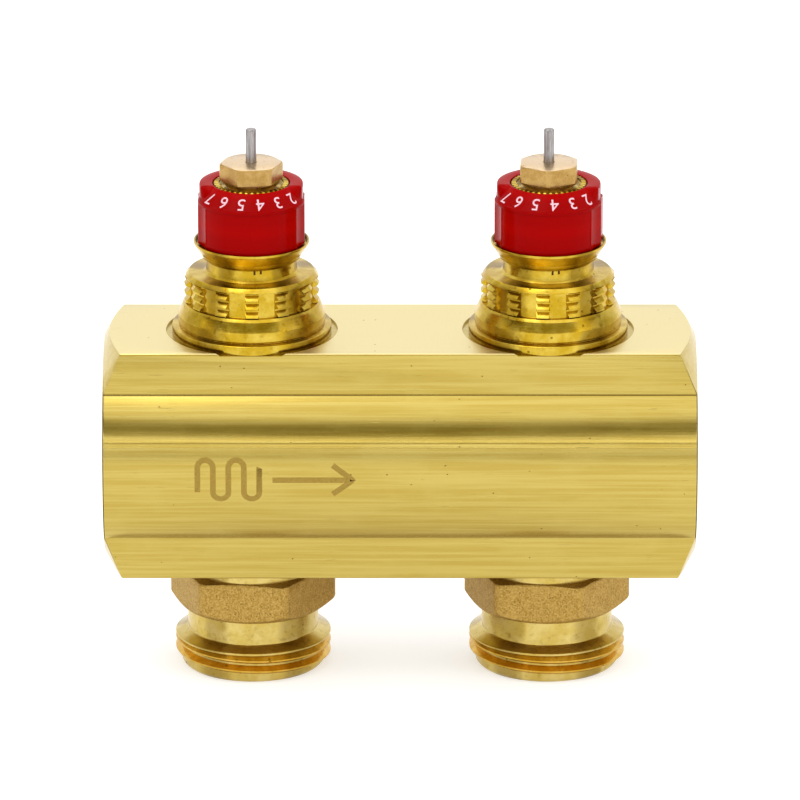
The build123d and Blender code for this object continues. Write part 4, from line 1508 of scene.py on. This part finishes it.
@dataclass
class PresetDial:
    """One red dial: fluted skirt, ledge, sloping number face, full crown behind, and numbers."""

    side: Side
    turn: float
    segments: int = 240
    skirt_radius: float = 9.04
    skirt_low: float = 35.55
    ledge_low: float = 42.9
    ledge_high: float = 43.55
    ledge_radius: float = 9.33
    crown_radius: float = 8.75
    top: float = 46.0
    lip_radius: float = 6.72
    opening_radius: float = 6.5
    face_half_arc: float = 66.0
    face_blend: float = 9.0
    ceiling: float = 42.55
    bore_radius: float = 7.65
    lip_bore: float = 7.15
    lip_bore_top: float = 36.6
    first_flute: float = 56.0
    flute: float = 68.0 / 3
    number_step: float = 22.5
    four_turn: float = 11.4
    number_height: float = 2.35
    number_slope: float = 2.0

    def dress(self) -> None:
        """Build the dial and its numbers and hand them over."""
        label = self.side.value
        hand_over(self._shell(), f"dial_{label}", DIAL_RED, f"preset_dial_{label}")
        hand_over(self._numbers(), f"dial_{label}", NUMBER_INK)

    def _shell(self) -> bpy.types.Object:
        """The moulded dial."""
        rings = RingMesh(self.segments, Lay.UPRIGHT, valve_x(self.side))
        off_front = (np.degrees(rings.angles) - FRONT - self.turn + 180.0) % 360.0 - 180.0
        skirt = self._skirt(off_front)
        behind = np.clip((np.abs(off_front) - self.face_half_arc) / self.face_blend, 0.0, 1.0)
        ledge_end = np.clip((self.face_half_arc + 10.0 - np.abs(off_front)) / 3.0, 0.0, 1.0)
        ledge = skirt + (self.ledge_radius - skirt) * ledge_end
        for radius, height in (
            (self.lip_bore, self.skirt_low),
            (skirt - 0.3, self.skirt_low),
            (skirt, self.skirt_low + 0.25),
            (skirt, self.ledge_low - 0.25),
            (skirt, self.ledge_low - 0.05),
            (ledge - 0.04, self.ledge_low + 0.05),
            (ledge, self.ledge_low + 0.18),
            (ledge, self.ledge_high - 0.15),
            (ledge - 0.1, self.ledge_high - 0.02),
        ):
            rings.ring(radius, height)
        crown = [
            (self.crown_radius, self.ledge_high),
            (self.crown_radius, self.ledge_high + 1.0),
            (self.crown_radius, self.top - 0.3),
            (self.crown_radius - 0.08, self.top - 0.09),
            (self.crown_radius - 0.3, self.top),
            (7.6, self.top),
            (self.lip_radius, self.top),
        ]
        for (radius, height), part in zip(crown, (0.0, 0.25, 0.5, 0.62, 0.74, 0.87, 1.0)):
            face_radius, face_height = self._face_point(part)
            rings.ring(
                face_radius + (radius - face_radius) * behind,
                face_height + (height - face_height) * behind,
            )
        inside = [
            (self.opening_radius + 0.05, self.top - 0.04, 0.0),
            (self.opening_radius, self.top - 0.16, 0.0),
            (self.opening_radius, self.ceiling, 0.0),
            (self.bore_radius, self.ceiling, 0.2),
            (self.bore_radius, self.lip_bore_top, 0.0),
            (self.lip_bore, self.lip_bore_top, 0.1),
        ]
        rings.outline(rounded(inside, steps=2, closed=False))
        return rings.build(f"dial_shell_{self.side.value}", DIAL_RED)

    def _skirt(self, off_front: np.ndarray) -> np.ndarray:
        """Skirt radius in each direction: smooth front and back, three flutes on each side."""
        within = (np.abs(off_front) - self.first_flute) / self.flute
        fluted = (within >= 0) & (within < 3)
        hollow = self.skirt_radius + 0.14 - 0.3 * np.sin(np.pi * (within % 1.0)) ** 0.8
        facet = 0.05 * np.abs(np.sin(np.radians(off_front) * 6))
        return np.where(fluted, hollow, self.skirt_radius - facet)

    def _face_point(self, part: float) -> tuple[float, float]:
        """A point up the sloping number face, 0 at the ledge and 1 at the lip."""
        foot = self.ledge_radius - 0.22
        radius = foot + (self.lip_radius - foot) * part
        return radius, self.ledge_high + (self.top - self.ledge_high) * part

    def _numbers(self) -> bpy.types.Object:
        """The numbers 7 to 1 from left to right, their feet towards the lip; 1 is on the crown's wall."""
        bm = bmesh.new()
        for number in range(1, 8):
            angle = FRONT + self.turn + self.four_turn + (4 - number) * self.number_step
            self._stamp(bm, str(number), angle)
        for vertex in bm.verts:
            vertex.co.x += valve_x(self.side)
            vertex.co.z += AXIS_HEIGHT
        return finish_object(f"dial_numbers_{self.side.value}", bm, NUMBER_INK)

    def _stamp(self, bm: bmesh.types.BMesh, text: str, angle: float) -> None:
        """Lay one number on the cone.

        Args:
            bm: The mesh that gathers the numbers.
            text: The number.
            angle: Compass angle of its middle, in degrees.
        """
        curve = bpy.data.curves.new("number", "FONT")
        curve.body = text
        curve.align_x = "CENTER"
        curve.align_y = "CENTER"
        curve.size = self.number_height * 1.3
        curve.extrude = 0.05
        curve.resolution_u = 6
        holder = bpy.data.objects.new("number", curve)
        bpy.context.scene.collection.objects.link(holder)
        bpy.context.view_layer.update()
        graph = bpy.context.evaluated_depsgraph_get()
        mesh = bpy.data.meshes.new_from_object(holder.evaluated_get(graph))
        bpy.data.objects.remove(holder)
        part = bmesh.new()
        part.from_mesh(mesh)
        bpy.data.meshes.remove(mesh)
        bmesh.ops.remove_doubles(part, verts=part.verts, dist=1e-4)
        bmesh.ops.triangulate(part, faces=part.faces)
        bmesh.ops.subdivide_edges(part, edges=[e for e in part.edges if e.calc_length() > 0.5], cuts=2)
        bmesh.ops.triangulate(part, faces=part.faces)
        lip = np.array(self._face_point(1.0))
        foot = np.array(self._face_point(0.0))
        middle = self.number_slope
        if abs(angle - FRONT - self.turn) > self.face_half_arc:
            lip = np.array((self.crown_radius, self.top))
            foot = np.array((self.crown_radius, self.ledge_high))
            middle = (self.top - self.ledge_high) / 2
        length = float(np.linalg.norm(foot - lip))
        down = (foot - lip) / length
        out = np.array((-down[1], down[0]))
        moved = {}
        for vertex in part.verts:
            slope = lip + down * (middle + vertex.co.y) + out * (vertex.co.z - 0.015)
            around = math.radians(angle) - vertex.co.x / float(slope[0])
            point = (slope[0] * math.cos(around), slope[0] * math.sin(around), slope[1])
            moved[vertex.index] = bm.verts.new(point)
        for face in part.faces:
            bm.faces.new([moved[v.index] for v in face.verts])
        part.free()


@dataclass
class DriverHead:
    """One brass driver: the notched ring that shows inside the dial, and its sleeve below."""

    side: Side
    rules: Rules
    head_radius: float = 6.3
    head_low: float = 42.35
    head_top: float = 46.0
    sleeve_radius: float = 5.9
    foot: float = 7.2
    chamber_radius: float = 4.2
    thread_radius: float = 4.0
    thread_low: float = 38.0
    chamber_low: float = 12.0
    nose_radius: float = 4.4
    nose_low: float = 5.0
    stem_bore: float = 1.65
    notches: int = 40

    def dress(self) -> None:
        """Build the driver's pieces and hand them over."""
        label = self.side.value
        body = f"driver_{label}"
        hand_over(self._sleeve(), body, TURNED_BRASS, f"preset_driver_{label}")
        name = f"driver_rim_{label}"
        rim = self.rules.stand_round(name, self._rim_tooth(), self.side, self.notches, 2.0, TURNED_BRASS)
        hand_over(rim, body, TURNED_BRASS)

    def _sleeve(self) -> bpy.types.Object:
        """The turned sleeve, cut back at the rim for the teeth."""
        head = self.head_radius - 0.5
        corners = [
            (self.stem_bore, self.nose_low, 0.0),
            (self.nose_radius, self.nose_low, 0.1),
            (self.nose_radius, self.foot, 0.0),
            (self.sleeve_radius, self.foot, 0.1),
            (self.sleeve_radius, self.head_low, 0.0),
            (self.head_radius, self.head_low, 0.1),
            (self.head_radius, self.head_top - 0.95, 0.05),
            (head, self.head_top - 0.9, 0.05),
            (head, self.head_top - 0.3, 0.1),
            (head - 0.45, self.head_top - 0.3, 0.12),
            (head - 0.8, self.head_top - 0.7, 0.1),
            (self.thread_radius, self.head_top - 0.7, 0.1),
            (self.thread_radius, self.thread_low, 0.0),
            (self.chamber_radius, self.thread_low - 0.6, 0.0),
            (self.chamber_radius, self.chamber_low, 0.0),
            (self.stem_bore, self.chamber_low, 0.0),
        ]
        rings = RingMesh(120, Lay.UPRIGHT, valve_x(self.side))
        rings.outline(rounded(corners, steps=3))
        return rings.build(f"driver_sleeve_{self.side.value}", TURNED_BRASS)

    def _rim_tooth(self) -> bpy.types.Object:
        """One rim tooth, drawn at the front of an axis at the origin."""
        low, high, back = self.head_top - 0.95, self.head_top, self.head_radius - 0.8
        rows = []
        for height, front, half in (
            (low, self.head_radius, 0.28),
            (high - 0.12, self.head_radius, 0.25),
            (high, self.head_radius - 0.12, 0.16),
        ):
            corners = [(-half, -front), (half, -front), (half, -back), (-half, -back)]
            rows.append([(x, y, height) for x, y in corners])
        return model_from_rows("rim_tooth", rows)


@dataclass
class GlandTop:
    """One gland nut with the pin that stands out of it."""

    side: Side
    corner_turn: float
    hex_flats: float = 9.5
    hex_low: float = 46.5
    hex_top: float = 49.6
    collar_radius: float = 4.7
    shank_radius: float = 4.0
    shank_low: float = 39.4
    bore_radius: float = 0.95
    packing_radius: float = 2.0
    packing_top: float = 41.6
    collar_low: float = 46.0
    pin_radius: float = 0.9
    pin_low: float = 33.0
    pin_tip: float = 55.4

    def dress(self) -> None:
        """Build the nut and the pin and hand them over."""
        label = self.side.value
        hand_over(self._nut(), f"driver_{label}", SATIN_BRASS, f"gland_nut_{label}")
        hand_over(self._pin(), f"pin_{label}", PIN_STEEL, f"actuator_pin_{label}")

    def _nut(self) -> bpy.types.Object:
        """The hexagon with its turned crown, collar, shank and bore."""
        turn = FRONT + self.corner_turn
        rings = RingMesh(144, Lay.UPRIGHT, valve_x(self.side), turn)
        flats = hexagon_radius(rings.angles, self.hex_flats, turn, 0.13)
        start = self.hex_flats / 2 - 0.12
        drop = (flats - start) * 0.42
        rings.ring(self.bore_radius + 0.12, self.hex_top)
        rings.ring(start, self.hex_top)
        rings.ring(flats - 0.05, self.hex_top - drop + 0.01)
        rings.ring(flats, self.hex_top - drop - 0.07)
        rings.ring(flats, self.hex_low + drop * 0.5 + 0.05)
        rings.ring(start, self.hex_low)
        below = [
            (self.collar_radius, self.hex_low - 0.02, 0.0),
            (self.collar_radius, self.collar_low, 0.05),
            (self.shank_radius, self.collar_low - 0.1, 0.0),
            (self.shank_radius, self.shank_low, 0.1),
            (self.packing_radius, self.shank_low, 0.0),
            (self.packing_radius, self.packing_top, 0.0),
            (self.bore_radius, self.packing_top, 0.0),
            (self.bore_radius, self.hex_top - 0.12, 0.0),
        ]
        rings.outline(rounded(below, steps=2, closed=False))
        return rings.build(f"gland_hexagon_{self.side.value}", SATIN_BRASS)

    def _pin(self) -> bpy.types.Object:
        """The round pin with its rounded tip."""
        corners = [
            (0.0, self.pin_low, 0.0),
            (self.pin_radius, self.pin_low, 0.1),
            (self.pin_radius, self.pin_tip, 0.5),
            (0.0, self.pin_tip, 0.0),
        ]
        rings = RingMesh(48, Lay.UPRIGHT, valve_x(self.side))
        rings.outline(rounded(corners, steps=5, closed=False))
        return rings.build(f"pin_{self.side.value}_shaft", PIN_STEEL, closed=False)


@dataclass
class InnerWorks:
    """The inner pieces: the return spring, and the CAD nodes that stay as they are."""

    side: Side
    rules: Rules
    spring_radius: float = 2.9
    wire_radius: float = 0.3
    spring_turns: float = 9.0
    spring_give: float = 2.1

    def dress(self) -> None:
        """Build the spring and give each CAD node its finish."""
        self._spring()
        for stem, finish in {
            "body_o_ring": BLACK_RUBBER,
            "driver_o_ring": BLACK_RUBBER,
            "gland_o_ring": BLACK_RUBBER,
            "nipple_o_ring": BLACK_RUBBER,
            "valve_disc": BLACK_RUBBER,
            "thrust_washer": GREY_PLASTIC,
            "throttle_sleeve": GREY_PLASTIC,
            "dial_snap_ring": SPRING_STEEL,
            "valve_spindle": TURNED_BRASS,
            "valve_seat": TURNED_BRASS,
        }.items():
            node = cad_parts[f"{stem}_{self.side.value}"]
            node.data.materials.clear()
            node.data.materials.append(finish.material())
            LOG.info("%s finished as %s", node.name, finish.name)

    def _spring(self) -> None:
        """Wind the return spring."""
        label = self.side.value
        low, high = node_span(f"return_spring_{label}")
        length = high.z - low.z
        values = {
            "Coil Radius": self.spring_radius,
            "Wire Radius": self.wire_radius,
            "Turns": self.spring_turns,
            "Height": length - 2 * self.wire_radius,
            "Centre": (valve_x(self.side), 0.0, low.z + self.wire_radius),
        }
        spring = self.rules.wire_coil.run(f"spring_coil_{label}", SPRING_STEEL, **values)
        hand_over(spring, "bar", SPRING_STEEL, f"return_spring_{label}")
        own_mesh(spring)


# --- Camera, floor and light -------------------------------------------------------------------


@dataclass
class Studio:
    """A white sweep, a soft surround and the camera."""

    distance: float = 1.7
    elevation: float = 18.8
    lens: float = 452.0
    aim: tuple[float, float, float] = (0.0, 0.0, 0.0465)
    gap_tint: Colour = (0.32, 0.27, 0.07)

    def dress(self) -> None:
        """Put up the floor, the light and the camera."""
        self._floor()
        self._surround()
        self._softboxes()
        self._camera()

    def _floor(self) -> None:
        """Lay the pale floor just under the outlets."""
        bm = bmesh.new()
        bmesh.ops.create_grid(bm, x_segments=1, y_segments=1, size=6000.0)
        floor = finish_object("studio_floor", bm, StudioPaper("studio_paper", ""))

    def _surround(self) -> None:
        """Pitch a white tent; the dark gap above the camera gives round brass its band."""
        world = bpy.data.worlds.new("surround")
        bpy.context.scene.world = world
        world.use_nodes = True
        world.node_tree.nodes.clear()
        board = Board(world.node_tree)
        way = Wire(board, board.node("ShaderNodeTexCoord").outputs["Generated"])
        _, y, z = board.split(way)
        front = (0.0 - y).rise(-0.1, 0.25)
        gap = z.rise(0.36, 0.385) * (1.0 - z.rise(0.585, 0.62)) * front
        low = z.rise(0.06, 0.14) * (1.0 - z.rise(0.34, 0.36)) * front
        back = y.rise(0.3, 0.8) * (1.0 - z.rise(0.6, 0.9))
        strip = z.rise(0.26, 0.29) * (1.0 - z.rise(0.34, 0.36)) * front
        light = 0.8 + low * 0.5 + strip * 1.5 + back * 0.4 + z.rise(0.6, 0.66) * 0.8
        bright = board.mix(gap, (1.0, 1.0, 1.0), self.gap_tint)
        colour = board.vector_math("MULTIPLY", bright, board.combine(light, light, light))
        shader = board.node("ShaderNodeBackground", None, {"Color": colour, "Strength": 1.0})
        board.node("ShaderNodeOutputWorld", None, {0: Wire(board, shader.outputs[0])})

    def _softboxes(self) -> None:
        """Hang one wide soft light overhead, a little to the left, and a weak one at the right."""
        for name, place, size, power in (
            ("overhead", (-0.35, -0.25, 1.3), 0.7, 2.5),
            ("right_fill", (0.9, -0.5, 0.6), 0.5, 0.8),
        ):
            data = bpy.data.lights.new(name, "AREA")
            data.energy = power
            data.size = size
            lamp = bpy.data.objects.new(name, data)
            bpy.context.scene.collection.objects.link(lamp)
            lamp.location = place
            aim = Vector(self.aim) - Vector(place)
            lamp.rotation_euler = aim.to_track_quat("-Z", "Y").to_euler()

    def _camera(self) -> None:
        """Set the long lens at the viewing angle."""
        data = bpy.data.cameras.new("camera")
        data.lens = self.lens
        data.clip_end = 50.0
        camera = bpy.data.objects.new("camera", data)
        bpy.context.scene.collection.objects.link(camera)
        rise = math.radians(self.elevation)
        aim = Vector(self.aim)
        away = Vector((0.0, -math.cos(rise), math.sin(rise))) * self.distance
        camera.location = aim + away
        camera.rotation_euler = (-away).to_track_quat("-Z", "Y").to_euler()
        bpy.context.scene.camera = camera
        bpy.context.scene.view_settings.view_transform = "Standard"


# --- Putting it together -----------------------------------------------------------------------


def main() -> None:
    """Build every piece in order."""
    logging.basicConfig(level=logging.INFO, format="%(name)s: %(message)s")
    rules = Rules()
    ManifoldBar().dress()
    FlowMark().dress()
    turns = {
        Side.LEFT: {"nipple": 22.7, "tooth": 1.0, "dial": 0.0, "gland": -22.0},
        Side.RIGHT: {"nipple": 22.5, "tooth": -5.5, "dial": -5.4, "gland": -2.5},
    }
    for side, turn in turns.items():
        OutletNipple(side, turn["nipple"], rules).dress()
        ValveInsert(side, turn["tooth"], rules).dress()
        PresetDial(side, turn["dial"]).dress()
        DriverHead(side, rules).dress()
        GlandTop(side, turn["gland"]).dress()
        InnerWorks(side, rules).dress()
    Studio().dress()


if __name__ == "__main__":
    main()
